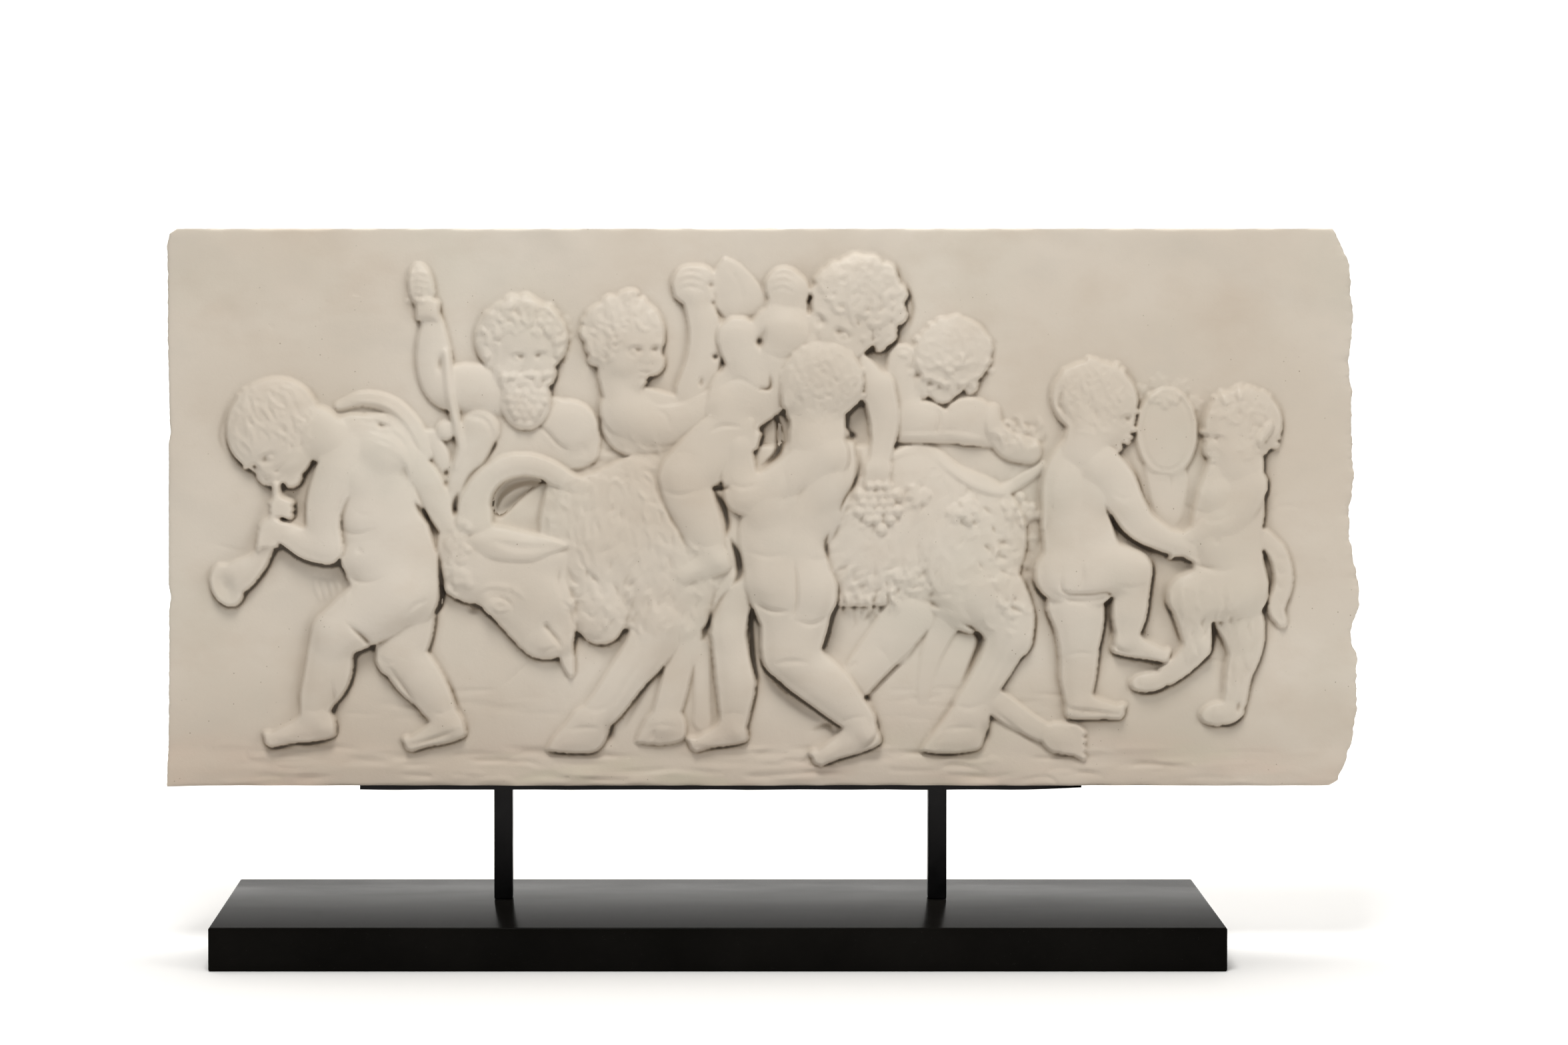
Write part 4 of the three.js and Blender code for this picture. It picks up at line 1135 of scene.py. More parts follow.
def drum(R):
    """Round timbrel half hidden by fruit and leaves, with a fall of cloth below."""
    R.begin(0.3, 1.6)
    R.pillow([(524, 172), (546, 170), (544, 144), (536, 139), (529, 150)], 0.3, 1.0, 4)
    R.ball((536, 190), (16.5, 24), 0, 1.2, 2.4, full=6)
    R.settle(0.4)
    R.stroke([(521, 176), (528, 168), (538, 166), (538, 154), (537.5, 143)], 0.8, -0.8)
    R.stroke([(536 + 13.2 * math.cos(a / 4), 190 + 20.4 * math.sin(a / 4)) for a in range(26)], 0.9,
        -0.8, taper=False, steps=1)
    for c, size, angle in (((523, 210), 8, 150), ((532, 214), 8, 95), ((542, 212), 8, 50),
            ((549, 205), 7, 10)):
        leaf(R, c, size, angle, 1.2)
    grapes(R, (535, 208), (9, 4), 1.9, 1.3, 9)


def kid(R):
    """Small goat-legged child at the right end."""
    R.begin(0.25, 2.4)
    R.limb([(572, 96), (577, 84), (578, 72), (575, 60), (573, 46)], [14, 12, 9, 7.2, 6.2],
        [3, 3.2, 3, 2.8, 2.6], 0.56)
    R.ball((566, 39), (12, 6.4), 8, 2.6, 4.6)
    R.settle(0.8)
    R.begin(0.25, 2.8)
    R.limb([(572, 168), (570, 152), (568, 136), (569, 120), (573, 106)], [15, 18.5, 19, 19, 18],
        [3.8, 4, 4.2, 4.2, 4.2], 0.40)
    R.ball((563, 130), (13, 14), 0, 5, 7.4)
    R.ball((563, 156), (11, 10), -15, 5, 6.4)
    R.limb([(572, 106), (560, 104), (549, 102)], [16.5, 15.4, 13], [5, 5.4, 5.6], 0.55)
    R.limb([(549, 101), (551, 88), (553, 75)], [12, 9.4, 7.4], [5.4, 5, 4.6], 0.58)
    R.limb([(553, 75), (545, 66), (537, 60)], [7.2, 6.2, 5.8], [4.4, 4.2, 4], 0.6)
    R.ball((527, 56), (10.5, 5.4), 8, 3.6, 4.6)
    R.settle(0.8)
    R.begin(0.25, 2)
    R.limb([(580, 162), (574, 150), (566, 141)], [10, 9.4, 8.8], [6, 6.2, 6], 0.55)
    R.limb([(566, 141), (557, 136), (549, 133)], [8.8, 7.4, 5.6], [6, 5.6, 5.2], 0.56)
    hand(R, (546, 132), 190, 9.5, 5, 0.5, 14, 10)
    R.settle(0.8)
    R.begin(0.3, 1.8)
    R.limb([(576, 172), (575, 180)], [12, 12], [4.6, 4.6], 0.45)
    head(R, (575, 192), 20.5, (-58, -6, 2), 3.0, 0.33, (-62, 150, 17, 0.11, 2.6, 72), 0.8,
        count=340, length=0.32, width=0.085, rise=0.056, hook=2.8, spread=0.9, seed=71)
    R.keep()
    R.bump((588, 190), (3, 8), 3.0, -35)
    R.bump((566, 209), (2.2, 5), 2.6, 20)
    R.bump((575, 212), (2.2, 5), 2.6, -8)
    R.strokes(
        (1.1, -0.7, (550, 147), (560, 143), (572, 147)),
        (1.2, -0.9, (552, 120), (562, 116), (574, 118)))
    R.dent((562, 132), (1.5, 1.3), 1.1)
    rng = np.random.default_rng(15)
    for k in range(46):
        if rng.random(2)[1] < 0.5:
            u, v = 545 + 30 * rng.random(), 92 + 22 * rng.random()
        else:
            u, v = 546 + 14 * rng.random(), 68 + 28 * rng.random()
        R.stroke([(u, v), (u - 2.4, v - 4), (u - 1, v - 9)], 0.9, 0.75 * (1 if k % 2 else -1))
    for k in range(22):
        u, v = 566 + 18 * rng.random(), 52 + 42 * rng.random()
        R.stroke([(u, v), (u - 1.6, v - 4), (u - 0.6, v - 8)], 0.8, 0.7 * (1 if k % 2 else -1))
    R.strokes(
        (0.8, -1.0, (522, 60), (520, 53)), (0.8, -1.0, (562, 44), (559, 35)))
    R.begin(0.3, 2)
    R.limb([(588, 134), (596, 124), (599, 110), (595, 96), (598, 88)], [4.5, 5.2, 5, 4.6, 3], 2.2,
        0.6)
    R.settle(0.6)
    for k in range(5):
        R.stroke([(592 + k, 128 - k * 8), (597, 122 - k * 8), (601 - k, 124 - k * 8)], 0.8, -0.8)


def drill(R):
    """Deep narrow cuts where forms meet, remembered as drilled so that they are painted dark as
    shade and soiling, and the fringe of the goat's belly.
    """
    for k in range(18):
        u = 357.5 + 2.1 * k + 0.8 * math.sin(k * 2.4)
        R.stroke([(u, 104), (u + 0.9 * math.sin(k), 98), (u - 0.8, 92.5 - 1.6 * math.sin(k * 1.7))],
            1.2, 1.5, steps=4)
    R.sink([(173, 151), (175, 158), (180, 163.5), (188, 165.5), (200, 165.5), (203, 164),
        (196, 159), (189, 153), (182, 146), (177, 144.5)], 5.0, 2.4)
    for pts, width, amount in (([(146, 125), (147, 112), (147, 98), (143, 92)], 1.5, -3.4),
            ([(133, 153), (137, 147), (140, 141)], 1.6, -3.0), ([(156, 158), (154.5, 151),
            (154, 144)], 1.5, -2.6), ([(150, 170), (149.5, 166)], 1.3, -2.4),
            ([(170, 173), (163, 167), (158, 158)], 1.0, -1.6), ([(292, 160.5), (298, 160),
            (302, 162)], 1.1, -3.0), ([(293, 160), (298, 151), (300.5, 142), (300, 134)], 1.5,
            -3.6), ([(302, 133), (306, 124), (307, 114), (303, 108)], 1.9, -4.0),
            ([(303, 108), (296, 99), (291, 88), (288, 78)], 1.2, -2.4),
            ([(313, 98), (314, 80), (315, 64), (318, 55)], 1.4, -3.0),
            ([(326, 200), (328.5, 192), (328.5, 182), (326, 177), (319, 172)], 1.9, -4.6),
            ([(323, 222), (323, 214), (316, 214)], 1.0, -2.4), ([(366, 190), (367, 185)], 2.6,
            -4.0), ([(371, 182), (371.5, 172), (369, 164), (362, 152), (361, 144)], 1.1, -2.2),
            ([(355, 137), (353, 130), (355, 120)], 1.3, -2.2), ([(426, 88), (433, 84), (436, 77),
            (432, 66), (426, 52)], 1.5, -2.8), ([(426, 52), (419, 40), (411, 29), (406, 20)], 1.0,
            -1.6), ([(317, 241), (318, 236)], 2.0, -2.4), ([(375, 47), (375, 46)], 1.8, -2.6),
            ([(371, 249), (369, 248)], 1.4, -1.6), ([(378, 246), (378, 238)], 1.0, -1.6),
            ([(502, 152), (506, 144), (512, 137), (522, 129), (533, 123)], 1.0, -2.0),
            ([(479, 118), (480, 105), (494, 103.5), (505, 104), (505, 94)], 1.0, -1.9),
            ([(506, 92), (507, 80), (510, 73.5), (520, 71)], 1.0, -1.6),
            ([(472, 146), (471.5, 139), (466, 127)], 0.8, -1.2), ([(482, 46), (484, 42), (500, 40),
            (514, 38)], 0.9, -1.3), ([(575, 46), (574, 39)], 1.1, -1.9),
            ([(437, 151), (442, 146)], 0.9, -1.6), ([(441, 141), (445, 135)], 0.9, -1.6),
            ([(437, 131), (442, 126)], 0.9, -1.5), ([(434, 122), (438, 116)], 0.8, -1.3),
            ([(97, 88), (107, 79), (112, 70)], 1.4, -2.0), ([(88, 58), (90, 44), (87, 32)], 0.9,
            -1.4), ([(118, 66), (128, 52), (134, 42)], 0.9, -1.4), ([(60, 24.5), (72, 22.5),
            (86, 25)], 0.8, -1.2), ([(128, 21.5), (144, 26), (157, 31)], 0.8, -1.4),
            ([(158, 36), (153, 50), (144, 66)], 0.8, -1.2), ([(278, 21), (296, 20.5), (309, 23)],
            0.8, -1.4), ([(383, 34), (378, 24), (366, 15)], 1.0, -1.4),
            ([(345, 29), (354, 32), (358, 27)], 1.6, -1.8), ([(68, 178), (62, 172), (57, 167)], 0.8,
            -0.9), ([(32, 176), (28, 188), (32, 202)], 0.9, -1.0), ([(96, 160), (93, 148),
            (95, 138)], 0.8, -1.2), ([(545, 152), (552, 148), (560, 146)], 0.8, -1.0),
            ([(548, 121), (556, 118), (566, 118)], 0.8, -1.0), ([(592, 120), (592, 108), (586, 96)],
            0.8, -1.4), ([(560, 90), (562, 78), (556, 66)], 0.8, -1.2),
            ([(562, 34), (572, 32), (580, 40)], 0.8, -1.4), ([(522, 50), (530, 50), (538, 53)], 0.8,
            -1.2), ([(206, 17.6), (220, 17), (230, 18)], 0.7, -1.0),
            ([(408, 17), (422, 16.5), (436, 20)], 0.7, -1.0), ([(483, 198), (478, 206), (481, 216)],
            1.4, -1.6), ([(397, 243), (400, 256), (396, 270)], 1.2, -1.4),
            ([(295, 232), (293, 229)], 1.8, -2.4), ([(287, 220), (286, 214)], 1.3, -1.6),):
        R.pierce(pts, width, 1.35 * amount, steps=4, sharp=2.4)


def build(step=1.0):
    """Carves every figure, the farthest first, then wears and drills the whole."""
    R = Relief(PANEL_WIDE, PANEL_TALL, step)
    for carve_part in (ground, satyr, lad, bowed, goat, tail, fallen, rider, puller, drum, kid,
                       dancer, piper):
        carve_part(R)
    # flanks that face up are rubbed into a soft slope; those that face down stay crisp
    broad = blur(R.h, 2.6 / step)
    rise = -np.gradient(broad, step, axis=0) + 0.25 * np.gradient(broad, step, axis=1)
    worn = np.clip((rise - 0.35) / 0.8, 0, 1)
    worn = np.clip(blur(worn, 1.5 / step) * 1.2, 0, MOST_WORN)
    detail = (0.55 + 0.3 * worn) * np.clip(R.h - blur(R.h, 1.3 / step), -MOST_DETAIL, MOST_DETAIL)
    R.h = R.h * (1 - worn) + blur(R.h, 2.2 / step) * worn + detail
    drill(R)
    R.h = blur(R.h, LAST_BLUR / step)
    return R


# ---------------------------------------------------------------- mesh helpers


def sample(field, step, u, v):
    """Bilinear look-up of a field at places on the panel."""
    x = np.clip(u / step, 0, field.shape[1] - 1.001)
    y = np.clip(v / step, 0, field.shape[0] - 1.001)
    i, j = x.astype(int), y.astype(int)
    a, b = x - i, y - j
    low = field[j, i] * (1 - a) + field[j, i + 1] * a
    high = field[j + 1, i] * (1 - a) + field[j + 1, i + 1] * a
    return low * (1 - b) + high * b


def ripple(t, seed, octaves=4, scale=40.0):
    """Repeatable rough line: sines with seeded phases, about -1 to 1."""
    rng = np.random.default_rng(seed)
    out = np.zeros_like(t, dtype=float)
    size = 1.0
    for _ in range(octaves):
        for _ in range(3):
            out += size * np.sin(t * 2 * math.pi / (scale * rng.uniform(0.6, 1.5)) + rng.uniform(0,
                6.3)) / 3
        scale *= 0.45
        size *= 0.6
    return out


def deselect():
    bpy.ops.object.select_all(action="DESELECT")


def choose(obj, *others):
    """Selects objects, the first of them active."""
    deselect()
    for each in (obj, *others):
        each.select_set(True)
    bpy.context.view_layer.objects.active = obj


def edit(obj, *steps):
    """Runs edit-mode steps on one object."""
    choose(obj)
    bpy.ops.object.mode_set(mode="EDIT")
    for step in steps:
        step()
    bpy.ops.object.mode_set(mode="OBJECT")


def no_edges():
    """In edit mode: edges to be picked, none picked."""
    bpy.ops.mesh.select_mode(type="EDGE")
    bpy.ops.mesh.select_all(action="DESELECT")


def open_edges():
    """In edit mode: picks the edges of a surface that isn't closed."""
    no_edges()
    bpy.ops.mesh.select_non_manifold()


def points_of(obj):
    data = np.empty(len(obj.data.vertices) * 3)
    obj.data.vertices.foreach_get("co", data)
    return data.reshape(-1, 3)


def put_points(obj, points):
    obj.data.vertices.foreach_set("co", np.ascontiguousarray(points).ravel())
    obj.data.update()


def apply_modifier(obj, kind, **settings):
    choose(obj)
    modifier = obj.modifiers.new(kind.title(), kind)
    for key, value in settings.items():
        setattr(modifier, key, value)
    bpy.ops.object.modifier_apply(modifier=modifier.name)


def freeze(obj):
    """Puts an object's place, turn and size into its mesh."""
    choose(obj)
    bpy.ops.object.transform_apply(location=True, rotation=True, scale=True)


def box_piece(name, low, high):
    """A box between two corners in millimetres."""
    deselect()
    centre = [(a + b) / 2 * MM for a, b in zip(low, high)]
    bpy.ops.mesh.primitive_cube_add(size=1, location=centre)
    obj = bpy.context.object
    obj.name = name
    obj.scale = [(b - a) * MM for a, b in zip(low, high)]
    freeze(obj)
    return obj


def smooth_shade(obj, degrees=35):
    choose(obj)
    bpy.ops.object.shade_smooth_by_angle(angle=math.radians(degrees))


def finish_piece(obj, node, material):
    obj.data.materials.clear()
    obj.data.materials.append(material)
    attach(obj, "root")
    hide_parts(*([node] if isinstance(node, str) else node))


# ---------------------------------------------------------------- shader graph


class Graph:
    """One material's node tree with a principled shader."""

    def __init__(self, name, **plain):
        self.material = bpy.data.materials.new(name)
        self.material.use_nodes = True
        self.tree = self.material.node_tree
        self.shader = self.tree.nodes["Principled BSDF"]
        for key, value in plain.items():
            self.shader.inputs[key.replace("_", " ")].default_value = value

    def node(self, kind, settings=None, sockets=None, out=0):
        """Makes one node: its settings first, then its sockets."""
        node = self.tree.nodes.new(kind)
        for key, value in (settings or {}).items():
            setattr(node, key, value)
        for key, value in (sockets or {}).items():
            self.feed(node.inputs[key], value)
        return Value(self, node.outputs[out])

    def feed(self, socket, value):
        if isinstance(value, Value):
            self.tree.links.new(value.socket, socket)
        elif hasattr(value, "__len__") and len(value) == 3 and len(socket.default_value) == 4:
            socket.default_value = (*value, 1.0)
        else:
            socket.default_value = value

    def drive(self, name, value):
        self.feed(self.shader.inputs[name], value)

    def place(self):
        return self.node("ShaderNodeTexCoord", out="Object")

    def stretch(self, place, scale, shift=(0, 0, 0)):
        return self.node("ShaderNodeMapping", None, {"Vector": place, "Scale": scale,
            "Location": shift})

    def noise(self, place, scale, detail=4.0, rough=0.55, warp=0.0):
        return self.node("ShaderNodeTexNoise", None, {"Vector": place, "Scale": scale,
            "Detail": detail, "Roughness": rough, "Distortion": warp})

    def cells(self, place, scale, feature="F1"):
        return self.node("ShaderNodeTexVoronoi", {"feature": feature},
            {"Vector": place, "Scale": scale})

    def ramp(self, value, low, high, to_low=0.0, to_high=1.0):
        return self.node("ShaderNodeMapRange", {"clamp": True}, {
            "Value": value, "From Min": low, "From Max": high, "To Min": to_low, "To Max": to_high})

    def mix(self, factor, first, second):
        return self.node("ShaderNodeMix", {"data_type": "RGBA"}, {0: factor, 6: first, 7: second},
            out=2)

    def attribute(self, name):
        return self.node("ShaderNodeAttribute", {"attribute_name": name}, out="Fac")

    def bump(self, height, strength, distance, before=None):
        sockets = {"Height": height, "Strength": strength, "Distance": distance}
        if before is not None:
            sockets["Normal"] = before
        return self.node("ShaderNodeBump", None, sockets)


class Value:
    """A socket that can be used in Python expressions."""

    def __init__(self, graph, socket):
        self.graph = graph
        self.socket = socket

    def _math(self, operation, first, second):
        return self.graph.node("ShaderNodeMath", {"operation": operation}, {0: first, 1: second})

    def __add__(self, other):
        return self._math("ADD", self, other)

    def __radd__(self, other):
        return self._math("ADD", other, self)

    def __sub__(self, other):
        return self._math("SUBTRACT", self, other)

    def __rsub__(self, other):
        return self._math("SUBTRACT", other, self)

    def __mul__(self, other):
        return self._math("MULTIPLY", self, other)

    def __rmul__(self, other):
        return self._math("MULTIPLY", other, self)

    def __pow__(self, other):
        return self._math("POWER", self, other)


def marble_material():
    g = Graph("worn cream marble", Specular_IOR_Level=0.35)
    place = g.place()
    broad = g.noise(place, 5.5, 3.0)
    cloud = g.noise(g.stretch(place, (1, 1, 1.6), (3, 1, 2)), 16.0, 5.0, 0.6)
    fine = g.noise(place, 150.0, 4.0, 0.6)
    # crease mask: painted shade with some dirt
    dirt_and_painted_shade = g.attribute("dirt_and_painted_shade")
    rubbed = g.attribute("rubbed")
    cream, pale = (0.577, 0.507, 0.424), (0.645, 0.583, 0.505)
    warm, grey, sallow = (0.505, 0.415, 0.328), (0.475, 0.440, 0.385), (0.50, 0.495, 0.41)
    lower_band_tone, rose, moss = (0.43, 0.345, 0.27), (0.56, 0.40, 0.32), (0.44, 0.45, 0.30)
    # the two dark tones on the next line paint shade in the creases as well as their dirt
    dust_and_shade_tone, deep_shade_and_dirt_tone, chalk = (0.235, 0.170, 0.105), (0.045, 0.033, 0.022), (0.76, 0.69, 0.59)
    rust = (0.20, 0.155, 0.10)
    colour = g.mix(g.ramp(broad, 0.40, 0.62), cream, pale)
    colour = g.mix(g.ramp(cloud, 0.50, 0.75) * 0.40, colour, warm)
    colour = g.mix(g.ramp(cloud, 0.45, 0.25) * 0.25, colour, grey)
    vein = g.node("ShaderNodeTexWave", {"wave_type": "BANDS", "bands_direction": "DIAGONAL"},
        {"Vector": place, "Scale": 1.3, "Distortion": 14.0, "Detail": 4.0, "Detail Scale": 1.2})
    colour = g.mix(g.ramp(vein, 0.965, 1.0) * 0.10, colour, grey)
    cool = g.ramp(g.noise(g.stretch(place, (1, 1, 1), (0, 9, 0)), 9.0, 4.0, 0.55), 0.50, 0.68)
    colour = g.mix(cool * 0.22, colour, sallow)
    # darker and browner towards the bottom of the panel; stains low on it: rosy and mossy patches
    height = g.node("ShaderNodeSeparateXYZ", None, {0: place}, out=2)
    low = g.ramp(height, 0.125, 0.092)
    colour = g.mix(g.ramp(height, 0.150, 0.098) * 0.42, colour, lower_band_tone)
    rosy = g.ramp(g.noise(g.stretch(place, (1, 1, 3), (7, 0, 0)), 11.0, 4.0), 0.52, 0.68) * low
    mossy = g.ramp(g.noise(g.stretch(place, (1, 1, 3), (1, 5, 0)), 13.0, 4.0), 0.54, 0.70) * low
    colour = g.mix(rosy * 0.32, colour, rose)
    colour = g.mix(mossy * 0.30, colour, moss)
    # dirt and painted shade in the hollows, broken up, near black painted shade with some dirt in
    # the deepest creases and drill holes, and paler rubbed heights
    patch = g.ramp(g.noise(place, 42.0, 5.0, 0.65), 0.30, 0.62, 0.55, 1.0)
    dirt_and_shade = g.ramp(dirt_and_painted_shade, 0.10, 0.95) * patch
    colour = g.mix(dirt_and_shade * 0.80, colour, dust_and_shade_tone)
    colour = g.mix(g.ramp(dirt_and_painted_shade, 0.70, 1.5) * 0.88, colour, deep_shade_and_dirt_tone)
    colour = g.mix(g.ramp(rubbed, 0.25, 1.2) * 0.16, colour, chalk)
    speck = g.ramp(g.cells(place, 210.0), 0.10, 0.045) * g.ramp(g.noise(place, 30.0, 2.0), 0.56,
        0.66)
    colour = g.mix(speck * 0.7, colour, rust)
    g.drive("Base Color", colour)
    rough = g.ramp(fine, 0.3, 0.7, 0.50, 0.66) + dirt_and_shade * 0.22 - g.ramp(rubbed, 0.1, 1.0) * 0.08
    g.drive("Roughness", rough)
    grain = g.noise(place, 620.0, 3.0, 0.6)
    pits = g.ramp(g.cells(place, 120.0), 0.0, 0.22)
    surface = fine * 0.55 + grain * 0.30 + pits * 0.25
    g.drive("Normal", g.bump(surface, 0.30, 0.0007))
    return g.material


def steel_material():
    g = Graph("blackened steel", Metallic=0.55, Specular_IOR_Level=0.4)
    place = g.place()
    wear = g.noise(place, 60.0, 5.0, 0.6)
    scale = g.noise(g.stretch(place, (1, 1, 0.25)), 420.0, 3.0)
    colour = g.mix(g.ramp(wear, 0.40, 0.70), (0.0050, 0.0046, 0.0050), (0.0105, 0.0098, 0.0102))
    g.drive("Base Color", colour)
    g.drive("Roughness", g.ramp(wear, 0.3, 0.7, 0.36, 0.52))
    g.drive("Normal", g.bump(scale, 0.10, 0.0003))
    return g.material


def black_stone_material():
    g = Graph("polished black stone", Specular_IOR_Level=0.011)
    place = g.place()
    cloud = g.noise(place, 14.0, 5.0, 0.6)
    fleck = g.ramp(g.cells(place, 900.0), 0.20, 0.05) * g.ramp(g.noise(place, 260.0, 2.0), 0.58,
        0.70)
    colour = g.mix(g.ramp(cloud, 0.35, 0.7), (0.0040, 0.0037, 0.0032), (0.0070, 0.0064, 0.0056))
    colour = g.mix(fleck * 0.5, colour, (0.07, 0.068, 0.06))
    g.drive("Base Color", colour)
    smear = g.noise(g.stretch(place, (1, 3, 1)), 9.0, 4.0, 0.6)
    g.drive("Roughness", g.ramp(smear, 0.3, 0.7, 0.13, 0.22))
    g.drive("Normal", g.bump(g.noise(place, 300.0, 2.0), 0.04, 0.0002))
    return g.material


def paper_material():
    g = Graph("studio paper", Specular_IOR_Level=0.1)
    tone = g.noise(g.place(), 0.9, 2.0)
    g.drive("Base Color", g.mix(g.ramp(tone, 0.3, 0.7), (0.86, 0.86, 0.86), (0.88, 0.88, 0.88)))
    g.drive("Roughness", g.ramp(tone, 0.3, 0.7, 0.80, 0.9))
    return g.material


# ---------------------------------------------------------------- pieces


def panel_edges(v):
    """Where the panel starts and ends at each height, with its small chips."""
    right = np.interp(v, *zip(*RIGHT_BREAK)) + 0.55 * ripple(v, 5, 5, 22.0)
    left = np.interp(v, *zip(*LEFT_WEAR)) + 0.28 * np.abs(ripple(v, 9, 4, 16.0))
    return left, np.minimum(right, PANEL_WIDE + 0.6)


def carve(step, depth):
    """The relief's heights; how deep in a crease each place lies, as a mask of painted shade and
    soiling that is heavier on the undersides of forms, in broad recesses and in drilled cuts; and
    how high on a ridge each place lies.
    """
    relief = build(step)
    h = relief.h * depth
    near, mid, wide = (blur(h, reach / step) - h for reach in (0.8, 2.0, 6.0))
    slope = blur(h, 1.5 / step)
    # painted shade: the crease mask weighs more where the surface faces down, where shade falls
    # under a light from above
    under = np.gradient(slope, step, axis=0) - 0.3 * np.gradient(slope, step, axis=1)
    shade_side = np.clip(0.45 + 0.9 * under, 0.12, 1.0)
    hollow = (1.9 * np.clip(near, 0, 1) + 0.55 * np.clip(mid - 0.15, 0, 2)) * shade_side
    # painted shade: broad recesses are darkened a little too
    hollow = hollow + 0.10 * np.clip(wide, 0, 3)
    # painted shade with some dirt: drilled and sunk cuts darken by their depth
    hollow = hollow + 0.21 * np.clip(blur(relief.cut, 0.5 / step) - 0.5, 0, 6)
    ridge = np.clip(-mid, 0, 2)
    return h, np.clip(hollow, 0, 2), ridge


def number(name, description, default, low, high, **more):
    """A setting that is a number."""
    return bpy.props.FloatProperty(
        name=name, description=description, default=default, min=low, max=high, **more)


class ReliefSettings(bpy.types.PropertyGroup):
    carving_step: number(
        "Carving step", "Spacing of the carving grid, in millimetres", 0.5, 0.3, 3.0)
    mesh_step: number(
        "Mesh step", "Spacing of the mesh before it is thinned, in millimetres", 0.7, 0.4, 4.0)
    depth: number(
        "Depth", "Scale of the relief's height", 0.68, 0.1, 2.0)
    triangles: bpy.props.IntProperty(
        name="Triangles", description="Triangles left on the panel after thinning",
        default=188000, min=5000, max=199000)
    break_rings: bpy.props.IntProperty(
        name="Edge rings", description="Rows of faces through the slab's thickness",
        default=9, min=2, max=24)


class MountSettings(bpy.types.PropertyGroup):
    edge_round: number(
        "Bar edge", "Rounding of the bars' edges, in millimetres", 0.7, 0.1, 3.0)
    arris: number(
        "Slab edge", "Rounding of the base slab's edges, in millimetres", 1.1, 0.1, 5.0)


class StageSettings(bpy.types.PropertyGroup):
    lens: number(
        "Lens", "Camera focal length, in millimetres", 85.3, 20.0, 300.0)
    distance: number("Distance", "Camera distance in front of the object", 2.003, 0.3, 20.0,
        subtype="DISTANCE", unit="LENGTH")
    eye_height: number("Eye height", "Camera height above the floor", 0.4046, 0.0, 5.0,
        subtype="DISTANCE", unit="LENGTH")
    tilt: number(
        "Tilt", "How far the camera looks down", math.radians(1.38), -1.5, 1.5, subtype="ANGLE")
    key_power: number("Key power", "Power of the main soft light", 30.0, 0.0, 500.0,
        subtype="POWER", unit="POWER")
    sky: number(
        "Surround", "Strength of the even light from all round", 0.22, 0.0, 5.0)


